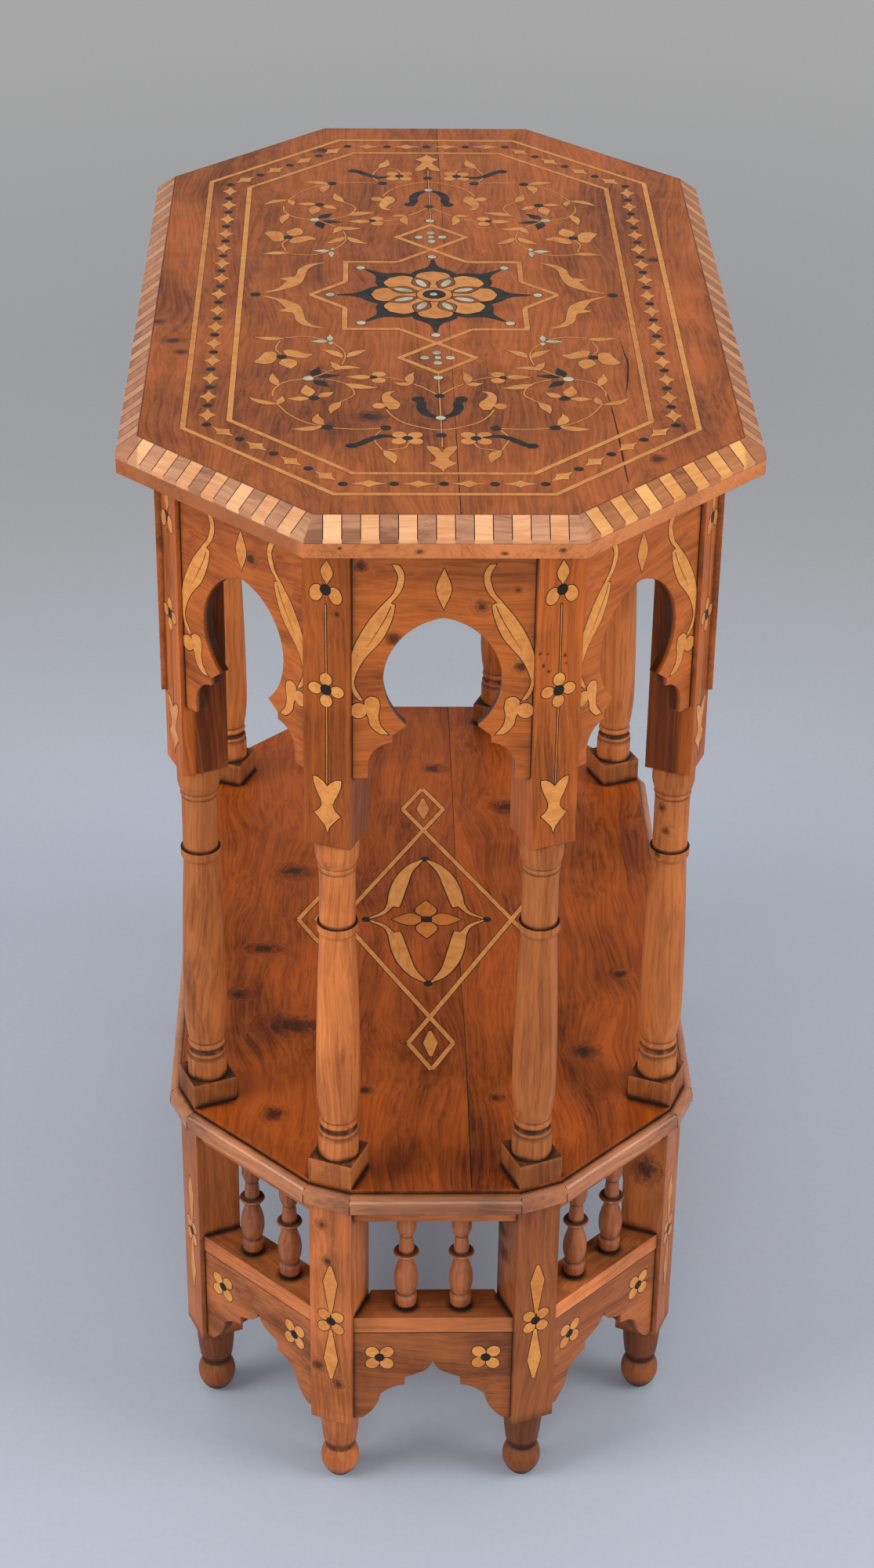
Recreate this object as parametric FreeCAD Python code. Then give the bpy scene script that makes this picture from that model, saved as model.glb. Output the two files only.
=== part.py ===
import FreeCAD, Part
import math
import os

# Two-tier side table: an elongated octagonal top on eight columns, over a shelf on eight short posts.
# Millimetres, +Z up. The origin is on the floor under the middle. X runs across, Y along, the front faces -Y.
# A bay is the space between two neighbouring columns. Bays and posts are numbered counter-clockwise from
# the front: bay k lies between post k and post k + 1.

# Sizes of the whole
TABLE_HEIGHT = 700.0
TABLE_LENGTH = 640.0
SHORT_SIDE = 150.0  # each end and each diagonal side of the top
COLUMN_INSET = 39.5  # from the edge of the top to the axes of the columns
POST_SIZE = 28.0  # square stock of the columns and the lower posts
FIT = 0.1  # clearance round tenons and tongues

# Top
TOP_THICKNESS = 20.0
TOP_SEAM_X = 8.0  # joint between its two boards
BEVEL_WIDTH = 11.9
BEVEL_DROP = 9.0
STRIPE_PITCH = 10.0
STRIPE_THICKNESS = 2.6

# Columns
BLOCK_LENGTH = 195.0  # square head, down from the top
PLINTH_HEIGHT = 16.5
TENON_RADIUS = 7.0
TOP_TENON_LENGTH = 12.0
POST_TENON_LENGTH = 15.0  # below the shelf
DRUM_RADIUS = 12.25
DRUM_HEIGHT = 14.0
BASE_RINGS = ((1.5, 11.0), (3.5, 11.9), (6.5, 10.5), (9.5, 11.6), (12.0, 10.8))  # height on the drum, radius
SWELL_RADIUS = 13.35
SWELL_RISE = 30.0  # widest part of the shaft, above the base rings
SHAFT_TOP_RADIUS = 10.6
COLLAR_RADIUS = 12.1
COLLAR_DROP = 61.5  # middle of the collar, below the block
COLLAR_HEIGHT = 5.0
NECK_RADIUS = 12.8
NECK_LENGTH = 8.5
NECK_COVE = 10.5  # rounding under the neck
NECK_RING_RADIUS = 11.3
NECK_RING_HEIGHT = 3.0
SWELL_SHARES = (0.75, 0.45)  # on the curve from the base rings to the widest part
TAPER_SHARES = (0.3, 0.5)  # on the curve from the widest part to the collar
COVE_SHARES = (0.72, 0.38)  # on the rounding under the neck

# Arch panels
PANEL_HEIGHT = 149.0
PANEL_THICKNESS = 7.0
PANEL_SETBACK = 2.8  # face of an end or diagonal panel, behind the corner of the post
SIDE_PANEL_PROUD = 2.0  # face of a long panel, in front of the corner of the post
TONGUE = 3.0  # depth of a panel or apron in its groove
ARCH_RADIUS = 39.0
ARCH_CENTRE_RISE = 62.5  # above the lower edge of the panel
ARCH_MARGIN = 17.2  # from the post to the widest part of the arch
CUSP_MARGIN = 30.0  # from the post to the cusp
WIDE_ARCH_CROWN = 30.0  # wood left above the apex of a long panel
SHOULDER_MARGIN = 22.4
SHOULDER_RISE = 27.5
SHOULDER_STEP = 4.5
TIP_MARGIN = 8.9
TIP_RISE = 7.0

# Shelf
SHELF_HEIGHT = 243.0
SHELF_THICKNESS = 15.5
SHELF_SEAM_X = 22.0  # joint between its two boards
MOULDING_WIDTH = 6.4
MOULDING_DROP = 2.6  # its top, below the shelf
MOULDING_ROUND = 5.4
MOULDING_UNDERCUT = 1.6

# Rails and balusters
RAIL_TOP = 140.3
RAIL_THICKNESS = 11.8
RAIL_DEPTH = 27.3
RAIL_SETBACK = 2.8  # behind the corner of the post
CAP_RAIL_THICKNESS = 10.9
STUB_LENGTH = 6.0
STUB_WIDTH = 10.0
STUB_SHARE = 0.55  # height of a stub tenon, as a share of its rail
BALUSTER_PITCH = 34.1
BALUSTER_TENON_RADIUS = 2.6
BALUSTER_TENON_LENGTH = 5.0
BALUSTER_SETBACK = 12.8  # from the front of the rail to the axes of the balusters
BALUSTER_HEIGHT = 76.3  # drawn height, stretched to the clear height between the rails
BALUSTER_DRUM = ((0.0, 5.4), (3.0, 6.6), (8.8, 6.9), (10.8, 6.3), (11.7, 5.6))  # height on the rail, radius
BALUSTER_BELLY = ((22.5, 7.6), (32.5, 5.9))  # widest part, and where the curve turns
BALUSTER_NECK = ((36.4, 4.8), (41.0, 4.5))
BALUSTER_RING = ((41.6, 7.4), (42.6, 8.1), (43.6, 7.6), (43.8, 5.0))
BALUSTER_HEAD = ((54.5, 4.2), (56.4, 3.9), (57.4, 4.9), (62.0, 6.3))

# Aprons
APRON_BOTTOM = 58.3
APRON_THICKNESS = 8.0
APRON_SETBACK = 3.2  # behind the corner of the post
APRON_APEX_RISE = 47.0  # above the lower edge of the apron
OGEE_HALF_WIDTH = 18.0
OGEE_DROP = 13.3
OGEE_TURN_SHARES = (0.3, 0.62)  # where its curve turns over, across and down
OGEE_TIP_SHARES = (0.3, 0.5)  # on the curve from the apex to the turn
OGEE_FLARE_SHARES = (0.46, 0.53)  # on the curve from the turn to its end
SCALLOP_MARGIN = 32.2  # from the post to the step beside the ogee
SCALLOP_STEP = 6.4
LOBE_MARGIN = 16.9
LOBE_RISE = 19.7
LOBE_SHARES = (0.6, 0.38)  # on the curve from the step to the lobe
TOE_MARGIN = 5.4
TOE_SHARES = (0.42, 0.64)  # on the curve from the lobe to the toe

# Lower posts
POST_SQUARE_BOTTOM = 54.0
FOOT_FLAT_RADIUS = 5.0
FOOT_BALL_RADIUS = 12.2
FOOT_BALL_MIDDLE = 13.4
FOOT_BALL_HEIGHT = 24.0
FOOT_GROOVE_RADIUS = 9.4
FOOT_GROOVE_HEIGHT = 4.0
FOOT_RING_RADIUS = 10.6
FOOT_RING_HEIGHT = 1.5
FOOT_NECK_RADIUS = 12.4
FOOT_NECK_SHARES = (0.7, 0.46)  # on the curve from the ring to the square

SIDES = 8
TURN = 360.0 / SIDES
HALF_TURN = math.radians(TURN / 2)
POST_NAMES = ("front_left", "front_right", "right_front", "right_back",
              "back_right", "back_left", "left_back", "left_front")
BAY_NAMES = ("front", "front_right_diagonal", "right", "back_right_diagonal",
             "back", "back_left_diagonal", "left", "front_left_diagonal")
LONG_BAYS = (BAY_NAMES.index("right"), BAY_NAMES.index("left"))
UP = FreeCAD.Vector(0, 0, 1)
CENTRE = FreeCAD.Vector(0, 0, 0)


def octagon(inset):
    """Plan corners of the top, moved in by inset, counter-clockwise from the front left."""
    shift = inset * math.tan(HALF_TURN)
    half_width = SHORT_SIDE * (1 + math.sqrt(2)) / 2 - inset
    half_length = TABLE_LENGTH / 2 - inset
    half_end = SHORT_SIDE / 2 - shift
    half_side = TABLE_LENGTH / 2 - SHORT_SIDE / math.sqrt(2) - shift
    front = [(-half_end, -half_length), (half_end, -half_length), (half_width, -half_side)]
    back = [(half_end, half_length), (-half_end, half_length), (-half_width, half_side)]
    return front + [(half_width, half_side)] + back + [(-half_width, -half_side)]


# Places that several pieces share
RING = octagon(COLUMN_INSET)
TOP_UNDERSIDE = TABLE_HEIGHT - TOP_THICKNESS
BLOCK_BOTTOM = TOP_UNDERSIDE - BLOCK_LENGTH
PANEL_BOTTOM = TOP_UNDERSIDE - PANEL_HEIGHT
SHELF_UNDERSIDE = SHELF_HEIGHT - SHELF_THICKNESS
RAIL_BOTTOM = RAIL_TOP - RAIL_THICKNESS
CAP_BOTTOM = SHELF_UNDERSIDE - CAP_RAIL_THICKNESS
CORNER_OUT = POST_SIZE / 2 * (math.cos(HALF_TURN) + math.sin(HALF_TURN))  # post corner, outside the ring line
CORNER_BACK = POST_SIZE / 2 * (math.cos(HALF_TURN) - math.sin(HALF_TURN))  # and along it, from the axis
RAIL_FRONT = RAIL_SETBACK - CORNER_OUT
RAIL_MIDDLE = RAIL_FRONT + RAIL_DEPTH / 2
BALUSTER_ROW = RAIL_FRONT + BALUSTER_SETBACK


def xz(point):
    return FreeCAD.Vector(point[0], 0, point[1])


def between(start, end, shares):
    """Point part of the way from start to end, with a share for each direction."""
    return tuple(a + (b - a) * share for a, b, share in zip(start, end, shares))


def side_of(corners, k):
    """Middle and length of side k of a closed outline."""
    start = FreeCAD.Vector(*corners[k])
    end = FreeCAD.Vector(*corners[(k + 1) % len(corners)])
    return (start + end) * 0.5, start.distanceToPoint(end)


def placed(shape, middle, turns):
    """Copy of a shape, turned about Z by a number of octagon turns and moved to middle."""
    copy = shape.copy()
    copy.rotate(CENTRE, UP, turns * TURN)
    copy.translate(middle)
    return copy


def in_bay(shape, k):
    """From the frame of bay k, with x along it, y inward and the origin at its middle, to the table."""
    return placed(shape, side_of(RING, k)[0], k)


def at_post(shape, k):
    """From the frame of post k, with -y outward, to the table."""
    return placed(shape, FreeCAD.Vector(*RING[k]), k - 0.5)


def clear_half(k, y):
    """Half the clear width between the posts of bay k at depth y."""
    return side_of(RING, k)[1] / 2 - CORNER_BACK - (y + CORNER_OUT) * math.tan(HALF_TURN)


def prism(corners, low, high):
    """Upright solid on a plan outline."""
    wire = Part.makePolygon([FreeCAD.Vector(x, y, low) for x, y in corners + corners[:1]])
    return Part.Face(wire).extrude(FreeCAD.Vector(0, 0, high - low))


def frustum(low_corners, low, high_corners, high):
    """Solid between two similar plan outlines at two heights."""
    wires = []
    for corners, z in ((low_corners, low), (high_corners, high)):
        wires.append(Part.makePolygon([FreeCAD.Vector(x, y, z) for x, y in corners + corners[:1]]))
    return Part.makeLoft(wires, True, True)


def cross_box(half, front, depth, low, high):
    """Box centred across the bay."""
    return Part.makeBox(2 * half, depth, high - low, FreeCAD.Vector(-half, front, low))


def rod(radius, low, high, x=0.0, y=0.0):
    return Part.makeCylinder(radius, high - low, FreeCAD.Vector(x, y, low))


def path(start, steps):
    """Edges in the XZ plane: a step that is a point is reached straight, a pair of points by an arc."""
    edges = []
    here = start
    for step in steps:
        if isinstance(step[0], tuple):
            through, there = step
            edges.append(Part.Arc(xz(here), xz(through), xz(there)).toShape())
        else:
            there = step
            edges.append(Part.makeLine(xz(here), xz(there)))
        here = there
    return edges


def turned(steps):
    """Solid of revolution whose outline runs from the axis through steps and back to the axis."""
    low = (0.0, steps[0][1])
    last = steps[-1]
    edges = path(low, list(steps) + [(0.0, last[1])])
    edges.append(Part.makeLine(xz((0.0, last[1])), xz(low)))
    return Part.Face(Part.Wire(edges)).revolve(CENTRE, UP, 360)


def flipped(step):
    """The same step on the other side of the middle."""
    if isinstance(step[0], tuple):
        return tuple(flipped(point) for point in step)
    return (-step[0], step[1])


def cut_board(apex, steps, front, thickness):
    """Upright board whose lower edge runs from apex through steps to its upper end, alike on both sides."""
    edges = path(apex, steps) + path(apex, [flipped(step) for step in steps])
    edges.append(Part.makeLine(xz(steps[-1]), xz(flipped(steps[-1]))))
    face = Part.Face(Part.Wire(Part.__sortEdges__(edges)))
    face.translate(FreeCAD.Vector(0, front, 0))
    return face.extrude(FreeCAD.Vector(0, thickness, 0))


def halves(solid, seam_x):
    """The two boards on either side of a seam, left one first."""
    box = solid.BoundBox
    size = (box.YLength, box.ZLength)
    left = Part.makeBox(seam_x - box.XMin, *size, FreeCAD.Vector(box.XMin, box.YMin, box.ZMin))
    right = Part.makeBox(box.XMax - seam_x, *size, FreeCAD.Vector(seam_x, box.YMin, box.ZMin))
    return solid.common(left), solid.common(right)


# Top and its striped edge


def top_boards():
    stripe_foot = TABLE_HEIGHT - BEVEL_DROP - STRIPE_THICKNESS
    stripe_head = TABLE_HEIGHT - STRIPE_THICKNESS
    field = octagon(BEVEL_WIDTH)
    body = prism(octagon(0), TOP_UNDERSIDE, stripe_foot)
    body = body.fuse(frustum(octagon(0), stripe_foot, field, stripe_head))
    body = body.fuse(prism(field, stripe_head, TABLE_HEIGHT)).removeSplitter()
    for x, y in RING:
        body = body.cut(rod(TENON_RADIUS + FIT, TOP_UNDERSIDE, TOP_UNDERSIDE + TOP_TENON_LENGTH + FIT, x, y))
    return halves(body, TOP_SEAM_X)


def edge_stripes():
    """Light and dark stripes: an odd number on each side, with a dark mitred one at each corner."""
    light = []
    dark = []
    shift = BEVEL_WIDTH * math.tan(HALF_TURN)
    low = TABLE_HEIGHT - BEVEL_DROP
    for k in range(SIDES):
        middle, length = side_of(octagon(0), k)
        count = 2 * round((length / STRIPE_PITCH - 1) / 2) + 1
        width = length / count
        section = [(0, low), (BEVEL_WIDTH, TABLE_HEIGHT), (BEVEL_WIDTH, TABLE_HEIGHT - STRIPE_THICKNESS),
                   (0, low - STRIPE_THICKNESS), (0, low)]
        mitred = prism([(-length / 2, 0), (length / 2, 0), (length / 2 - shift, BEVEL_WIDTH),
                        (shift - length / 2, BEVEL_WIDTH)], low - STRIPE_THICKNESS, TABLE_HEIGHT)
        for i in range(count):
            start = i * width - length / 2
            face = Part.Face(Part.makePolygon([FreeCAD.Vector(start, y, z) for y, z in section]))
            stripe = face.extrude(FreeCAD.Vector(width, 0, 0))
            if max(-start, start + width) > length / 2 - shift:
                stripe = stripe.common(mitred)
            group = light if i % 2 else dark
            group += placed(stripe, middle, k).Solids
    return Part.makeCompound(light), Part.makeCompound(dark)


# Arch panels and aprons


def panel_front(k):
    return -CORNER_OUT - SIDE_PANEL_PROUD if k in LONG_BAYS else PANEL_SETBACK - CORNER_OUT


def arch_half(k, half):
    """Apex of the arch of bay k and the first steps down its edge, as far as the cusp."""
    centre_x = half - ARCH_MARGIN - ARCH_RADIUS
    centre_z = PANEL_BOTTOM + ARCH_CENTRE_RISE
    cusp_x = half - CUSP_MARGIN
    cusp_z = centre_z - math.sqrt(ARCH_RADIUS ** 2 - (cusp_x - centre_x) ** 2)
    haunch = ((centre_x + ARCH_RADIUS, centre_z), (cusp_x, cusp_z))
    if centre_x <= 0:
        return (0.0, centre_z + math.sqrt(ARCH_RADIUS ** 2 - centre_x ** 2)), [haunch]
    apex = (0.0, TOP_UNDERSIDE - WIDE_ARCH_CROWN)
    reach = math.hypot(centre_x, apex[1] - centre_z)
    angle = math.atan2(apex[1] - centre_z, -centre_x) - math.acos(ARCH_RADIUS / reach)
    tangent = (centre_x + ARCH_RADIUS * math.cos(angle), centre_z + ARCH_RADIUS * math.sin(angle))
    return apex, [tangent, haunch]


def arch_panel(k):
    front = panel_front(k)
    half = clear_half(k, front)
    end = half + TONGUE
    apex, steps = arch_half(k, half)
    shoulder_x = half - SHOULDER_MARGIN
    shoulder_z = PANEL_BOTTOM + SHOULDER_RISE
    tip = (half - TIP_MARGIN, PANEL_BOTTOM + TIP_RISE)
    hollow = (shoulder_x, shoulder_z - SHOULDER_STEP)
    middle = (shoulder_x + (tip[0] - shoulder_x) * math.sin(math.pi / 4),
              tip[1] + (hollow[1] - tip[1]) * math.sin(math.pi / 4))
    steps = steps + [(shoulder_x, shoulder_z), hollow, (middle, tip), (tip[0], PANEL_BOTTOM),
                     (end, PANEL_BOTTOM), (end, TOP_UNDERSIDE)]
    return in_bay(cut_board(apex, steps, front, PANEL_THICKNESS), k)


def panel_groove(k):
    front = panel_front(k)
    half = clear_half(k, front) + TONGUE + FIT
    return in_bay(cross_box(half, front - FIT, PANEL_THICKNESS + 2 * FIT, PANEL_BOTTOM - FIT, TOP_UNDERSIDE), k)


def apron(k):
    front = APRON_SETBACK - CORNER_OUT
    half = clear_half(k, front)
    end = half + TONGUE
    apex = (0.0, APRON_BOTTOM + APRON_APEX_RISE)
    step_x = half - SCALLOP_MARGIN
    ogee_x = min(OGEE_HALF_WIDTH, step_x)
    run_z = apex[1] - OGEE_DROP
    ogee_end = (ogee_x, run_z)
    turn = between(apex, ogee_end, OGEE_TURN_SHARES)
    lobe = (half - LOBE_MARGIN, APRON_BOTTOM + LOBE_RISE)
    toe = (half - TOE_MARGIN, APRON_BOTTOM)
    steps = [(between(apex, turn, OGEE_TIP_SHARES), turn),
             (between(turn, ogee_end, OGEE_FLARE_SHARES), ogee_end)]
    if step_x > ogee_x:
        steps.append((step_x, run_z))
    step_low = (step_x, run_z - SCALLOP_STEP)
    steps += [step_low, (between(step_low, lobe, LOBE_SHARES), lobe), (between(lobe, toe, TOE_SHARES), toe),
              (end, APRON_BOTTOM), (end, RAIL_BOTTOM)]
    return in_bay(cut_board(apex, steps, front, APRON_THICKNESS), k)


def apron_groove(k):
    front = APRON_SETBACK - CORNER_OUT
    half = clear_half(k, front) + TONGUE + FIT
    return in_bay(cross_box(half, front - FIT, APRON_THICKNESS + 2 * FIT, APRON_BOTTOM - FIT, RAIL_BOTTOM), k)


# Rails and balusters


def stub(k, low, high, gap):
    """Bar whose ends are the stub tenons of a rail of bay k, grown by a gap for their mortises."""
    half = clear_half(k, RAIL_MIDDLE) + STUB_LENGTH + gap
    middle = (low + high) / 2
    rise = (high - low) * STUB_SHARE / 2 + gap
    return cross_box(half, RAIL_MIDDLE - STUB_WIDTH / 2 - gap, STUB_WIDTH + 2 * gap, middle - rise, middle + rise)


def baluster_places(k):
    count = max(1, round(2 * clear_half(k, BALUSTER_ROW) / BALUSTER_PITCH) - 1)
    return [(i - (count - 1) / 2) * BALUSTER_PITCH for i in range(count)]


def rail_of(k, low, high, socket_low):
    """Rail between the posts of bay k, with stub tenons and sockets for the balusters."""
    back = RAIL_FRONT + RAIL_DEPTH
    outer = clear_half(k, RAIL_FRONT)
    inner = clear_half(k, back)
    rail = prism([(-outer, RAIL_FRONT), (outer, RAIL_FRONT), (inner, back), (-inner, back)], low, high)
    rail = rail.fuse(stub(k, low, high, 0)).removeSplitter()
    for x in baluster_places(k):
        socket_high = socket_low + BALUSTER_TENON_LENGTH + FIT
        rail = rail.cut(rod(BALUSTER_TENON_RADIUS + FIT, socket_low, socket_high, x, BALUSTER_ROW))
    return in_bay(rail, k)


def lower_rail(k):
    return rail_of(k, RAIL_BOTTOM, RAIL_TOP, RAIL_TOP - BALUSTER_TENON_LENGTH - FIT)


def cap_rail(k):
    return rail_of(k, CAP_BOTTOM, SHELF_UNDERSIDE, CAP_BOTTOM)


def balusters(k):
    """Turned balusters of bay k: drum, pear-shaped vase, ring and head, with a tenon at each end."""
    stretch = (CAP_BOTTOM - RAIL_TOP) / BALUSTER_HEIGHT

    def points(stations):
        return [(radius, RAIL_TOP + height * stretch) for height, radius in stations]

    outline = [(BALUSTER_TENON_RADIUS, RAIL_TOP - BALUSTER_TENON_LENGTH), (BALUSTER_TENON_RADIUS, RAIL_TOP)]
    outline += points(BALUSTER_DRUM) + [tuple(points(BALUSTER_BELLY)), tuple(points(BALUSTER_NECK))]
    outline += points(BALUSTER_RING + BALUSTER_HEAD)
    outline += [(BALUSTER_HEAD[-1][1], CAP_BOTTOM), (BALUSTER_TENON_RADIUS, CAP_BOTTOM),
                (BALUSTER_TENON_RADIUS, CAP_BOTTOM + BALUSTER_TENON_LENGTH)]
    piece = turned(outline)
    row = []
    for x in baluster_places(k):
        copy = piece.copy()
        copy.translate(FreeCAD.Vector(x, BALUSTER_ROW, 0))
        row.append(in_bay(copy, k))
    return row


# Columns and lower posts


def column(k):
    drum_top = SHELF_HEIGHT + PLINTH_HEIGHT + DRUM_HEIGHT
    shaft_low = drum_top + BASE_RINGS[-1][0]
    swell = shaft_low + SWELL_RISE
    collar = BLOCK_BOTTOM - COLLAR_DROP
    neck = BLOCK_BOTTOM - NECK_LENGTH
    ring = neck - NECK_COVE
    outline = [(TENON_RADIUS, SHELF_UNDERSIDE - POST_TENON_LENGTH), (TENON_RADIUS, SHELF_HEIGHT),
               (DRUM_RADIUS, SHELF_HEIGHT), (DRUM_RADIUS, drum_top)]
    outline += [(radius, drum_top + height) for height, radius in BASE_RINGS]
    widest = (SWELL_RADIUS, swell)
    shaft_top = (SHAFT_TOP_RADIUS, collar - COLLAR_HEIGHT)
    cove_low = (SHAFT_TOP_RADIUS, ring)
    cove_high = (NECK_RADIUS, neck)
    outline += [
        (between(outline[-1], widest, SWELL_SHARES), widest),
        (between(widest, shaft_top, TAPER_SHARES), shaft_top),
        (COLLAR_RADIUS, collar - COLLAR_HEIGHT / 2), (COLLAR_RADIUS, collar + COLLAR_HEIGHT / 2),
        (SHAFT_TOP_RADIUS, collar + COLLAR_HEIGHT / 2), (SHAFT_TOP_RADIUS, ring - NECK_RING_HEIGHT),
        (NECK_RING_RADIUS, ring - NECK_RING_HEIGHT / 2), cove_low,
        (between(cove_low, cove_high, COVE_SHARES), cove_high),
        (NECK_RADIUS, TOP_UNDERSIDE), (TENON_RADIUS, TOP_UNDERSIDE),
        (TENON_RADIUS, TOP_UNDERSIDE + TOP_TENON_LENGTH)]
    half = POST_SIZE / 2
    plinth = cross_box(half, -half, POST_SIZE, SHELF_HEIGHT, SHELF_HEIGHT + PLINTH_HEIGHT)
    block = cross_box(half, -half, POST_SIZE, BLOCK_BOTTOM, TOP_UNDERSIDE)
    piece = at_post(turned(outline).fuse([plinth, block]), k)
    return piece.cut([panel_groove((k - 1) % SIDES), panel_groove(k)]).removeSplitter()


def post(k):
    half = POST_SIZE / 2
    ring_low = FOOT_BALL_HEIGHT + FOOT_GROOVE_HEIGHT
    ring = (FOOT_RING_RADIUS, ring_low + FOOT_RING_HEIGHT)
    neck = (FOOT_NECK_RADIUS, POST_SQUARE_BOTTOM)
    outline = [(FOOT_FLAT_RADIUS, 0.0),
               ((FOOT_BALL_RADIUS, FOOT_BALL_MIDDLE), (FOOT_GROOVE_RADIUS, FOOT_BALL_HEIGHT)),
               (FOOT_GROOVE_RADIUS, ring_low), ring, (between(ring, neck, FOOT_NECK_SHARES), neck),
               (FOOT_NECK_RADIUS, POST_SQUARE_BOTTOM + half)]
    square = cross_box(half, -half, POST_SIZE, POST_SQUARE_BOTTOM, SHELF_UNDERSIDE)
    socket = rod(TENON_RADIUS + FIT, SHELF_UNDERSIDE - POST_TENON_LENGTH - FIT, SHELF_UNDERSIDE)
    piece = at_post(square.fuse(turned(outline)).cut(socket), k)
    cuts = []
    for bay in ((k - 1) % SIDES, k):
        cuts.append(apron_groove(bay))
        cuts.append(in_bay(stub(bay, RAIL_BOTTOM, RAIL_TOP, FIT), bay))
        cuts.append(in_bay(stub(bay, CAP_BOTTOM, SHELF_UNDERSIDE, FIT), bay))
    return piece.cut(cuts).removeSplitter()


# Shelf and its edge moulding


def shelf_outline():
    """Sixteen plan corners: the two outer corners of every post."""
    corners = []
    half = POST_SIZE / 2
    for k in range(SIDES):
        for x in (-half, half):
            point = at_post(Part.Vertex(x, -half, 0), k).Point
            corners.append((point.x, point.y))
    return corners


def shelf_boards():
    body = prism(shelf_outline(), SHELF_UNDERSIDE, SHELF_HEIGHT)
    for x, y in RING:
        body = body.cut(rod(TENON_RADIUS + FIT, SHELF_UNDERSIDE, SHELF_HEIGHT, x, y))
    return halves(body, SHELF_SEAM_X)


def moulding_length(side):
    """One mitred length of rounded moulding along a side of the shelf."""
    middle, length = side_of(shelf_outline(), side)
    top = SHELF_HEIGHT - MOULDING_DROP
    shoulder = MOULDING_ROUND * (1 - math.sin(math.pi / 4))
    edges = path((0.0, SHELF_UNDERSIDE), [
        (MOULDING_UNDERCUT - MOULDING_WIDTH, SHELF_UNDERSIDE),
        (-MOULDING_WIDTH, SHELF_UNDERSIDE + MOULDING_UNDERCUT), (-MOULDING_WIDTH, top - MOULDING_ROUND),
        ((shoulder - MOULDING_WIDTH, top - shoulder), (MOULDING_ROUND - MOULDING_WIDTH, top)),
        (0.0, top), (0.0, SHELF_UNDERSIDE)])
    section = Part.Face(Part.Wire(edges))
    section.rotate(CENTRE, UP, 90)
    shift = MOULDING_WIDTH * math.tan(HALF_TURN / 2)
    section.translate(FreeCAD.Vector(-length / 2 - shift, 0, 0))
    bar = section.extrude(FreeCAD.Vector(length + 2 * shift, 0, 0))
    mitred = prism([(-length / 2, 0), (-length / 2 - shift, -MOULDING_WIDTH),
                    (length / 2 + shift, -MOULDING_WIDTH), (length / 2, 0)], SHELF_UNDERSIDE, SHELF_HEIGHT)
    return placed(bar.common(mitred), middle, (side - 1) / 2)


# Write one file per node


def write(name, shape):
    shape.exportStep(os.path.join("parts", name + ".step"))


def main():
    os.makedirs("parts", exist_ok=True)
    top_left, top_right = top_boards()
    light, dark = edge_stripes()
    shelf_left, shelf_right = shelf_boards()
    write("top_board_left", top_left)
    write("top_board_right", top_right)
    write("edge_stripes_light", light)
    write("edge_stripes_dark", dark)
    write("shelf_board_left", shelf_left)
    write("shelf_board_right", shelf_right)
    lengths = [moulding_length(side) for side in range(2 * SIDES)]
    write("shelf_moulding_corners", Part.makeCompound(lengths[0::2]))
    write("shelf_moulding_bays", Part.makeCompound(lengths[1::2]))
    for k in range(SIDES):
        write("column_" + POST_NAMES[k], column(k))
        write("post_" + POST_NAMES[k], post(k))
        write("arch_panel_" + BAY_NAMES[k], arch_panel(k))
        write("rail_" + BAY_NAMES[k], lower_rail(k))
        write("apron_" + BAY_NAMES[k], apron(k))
    groups = {"ends": (0, 4), "diagonals": (1, 3, 5, 7), "sides": LONG_BAYS}
    for group, bays in groups.items():
        write("cap_rails_" + group, Part.makeCompound([cap_rail(k) for k in bays]))
        write("balusters_" + group, Part.makeCompound([piece for k in bays for piece in balusters(k)]))


main()
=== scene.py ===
import math
import random

import bmesh
import bpy
from mathutils import Matrix, Vector


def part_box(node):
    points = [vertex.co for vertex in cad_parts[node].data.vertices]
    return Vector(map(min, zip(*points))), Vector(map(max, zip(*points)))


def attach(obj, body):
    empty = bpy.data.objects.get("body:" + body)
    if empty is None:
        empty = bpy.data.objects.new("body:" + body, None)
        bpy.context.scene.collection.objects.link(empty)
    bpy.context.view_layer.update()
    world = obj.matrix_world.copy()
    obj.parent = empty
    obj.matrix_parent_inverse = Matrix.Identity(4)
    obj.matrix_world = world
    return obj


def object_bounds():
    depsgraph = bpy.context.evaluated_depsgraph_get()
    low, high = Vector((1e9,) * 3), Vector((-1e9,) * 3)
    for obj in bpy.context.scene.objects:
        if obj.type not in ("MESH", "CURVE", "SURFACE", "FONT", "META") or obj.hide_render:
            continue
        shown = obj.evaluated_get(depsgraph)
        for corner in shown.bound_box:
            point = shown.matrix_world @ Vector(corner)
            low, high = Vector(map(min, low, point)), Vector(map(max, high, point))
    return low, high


# Looks of the inlaid two-tier octagonal side table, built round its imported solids.
# Sizes are millimetres unless a name says otherwise. Inlay is drawn in the plane of the face that holds it,
# u across and v along or up, and laid on that face as thin plates.

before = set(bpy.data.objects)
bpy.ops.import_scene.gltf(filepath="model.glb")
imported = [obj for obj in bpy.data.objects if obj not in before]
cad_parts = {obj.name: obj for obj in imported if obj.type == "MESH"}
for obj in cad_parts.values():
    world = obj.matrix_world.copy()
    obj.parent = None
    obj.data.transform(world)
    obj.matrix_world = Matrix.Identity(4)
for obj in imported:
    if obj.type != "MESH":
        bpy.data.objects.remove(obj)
cad_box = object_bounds()

MM = 0.001
SEED = 7
SIDES = 8
EIGHTH = math.pi / 4
SIXTEENTH = math.pi / 8
DIAGONAL = math.sqrt(0.5)
UP = (0, 0, 1)
BOTH = (1, -1)  # as drawn, and mirrored
QUARTERS = ((1, 1), (1, -1), (-1, 1), (-1, -1))

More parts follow.
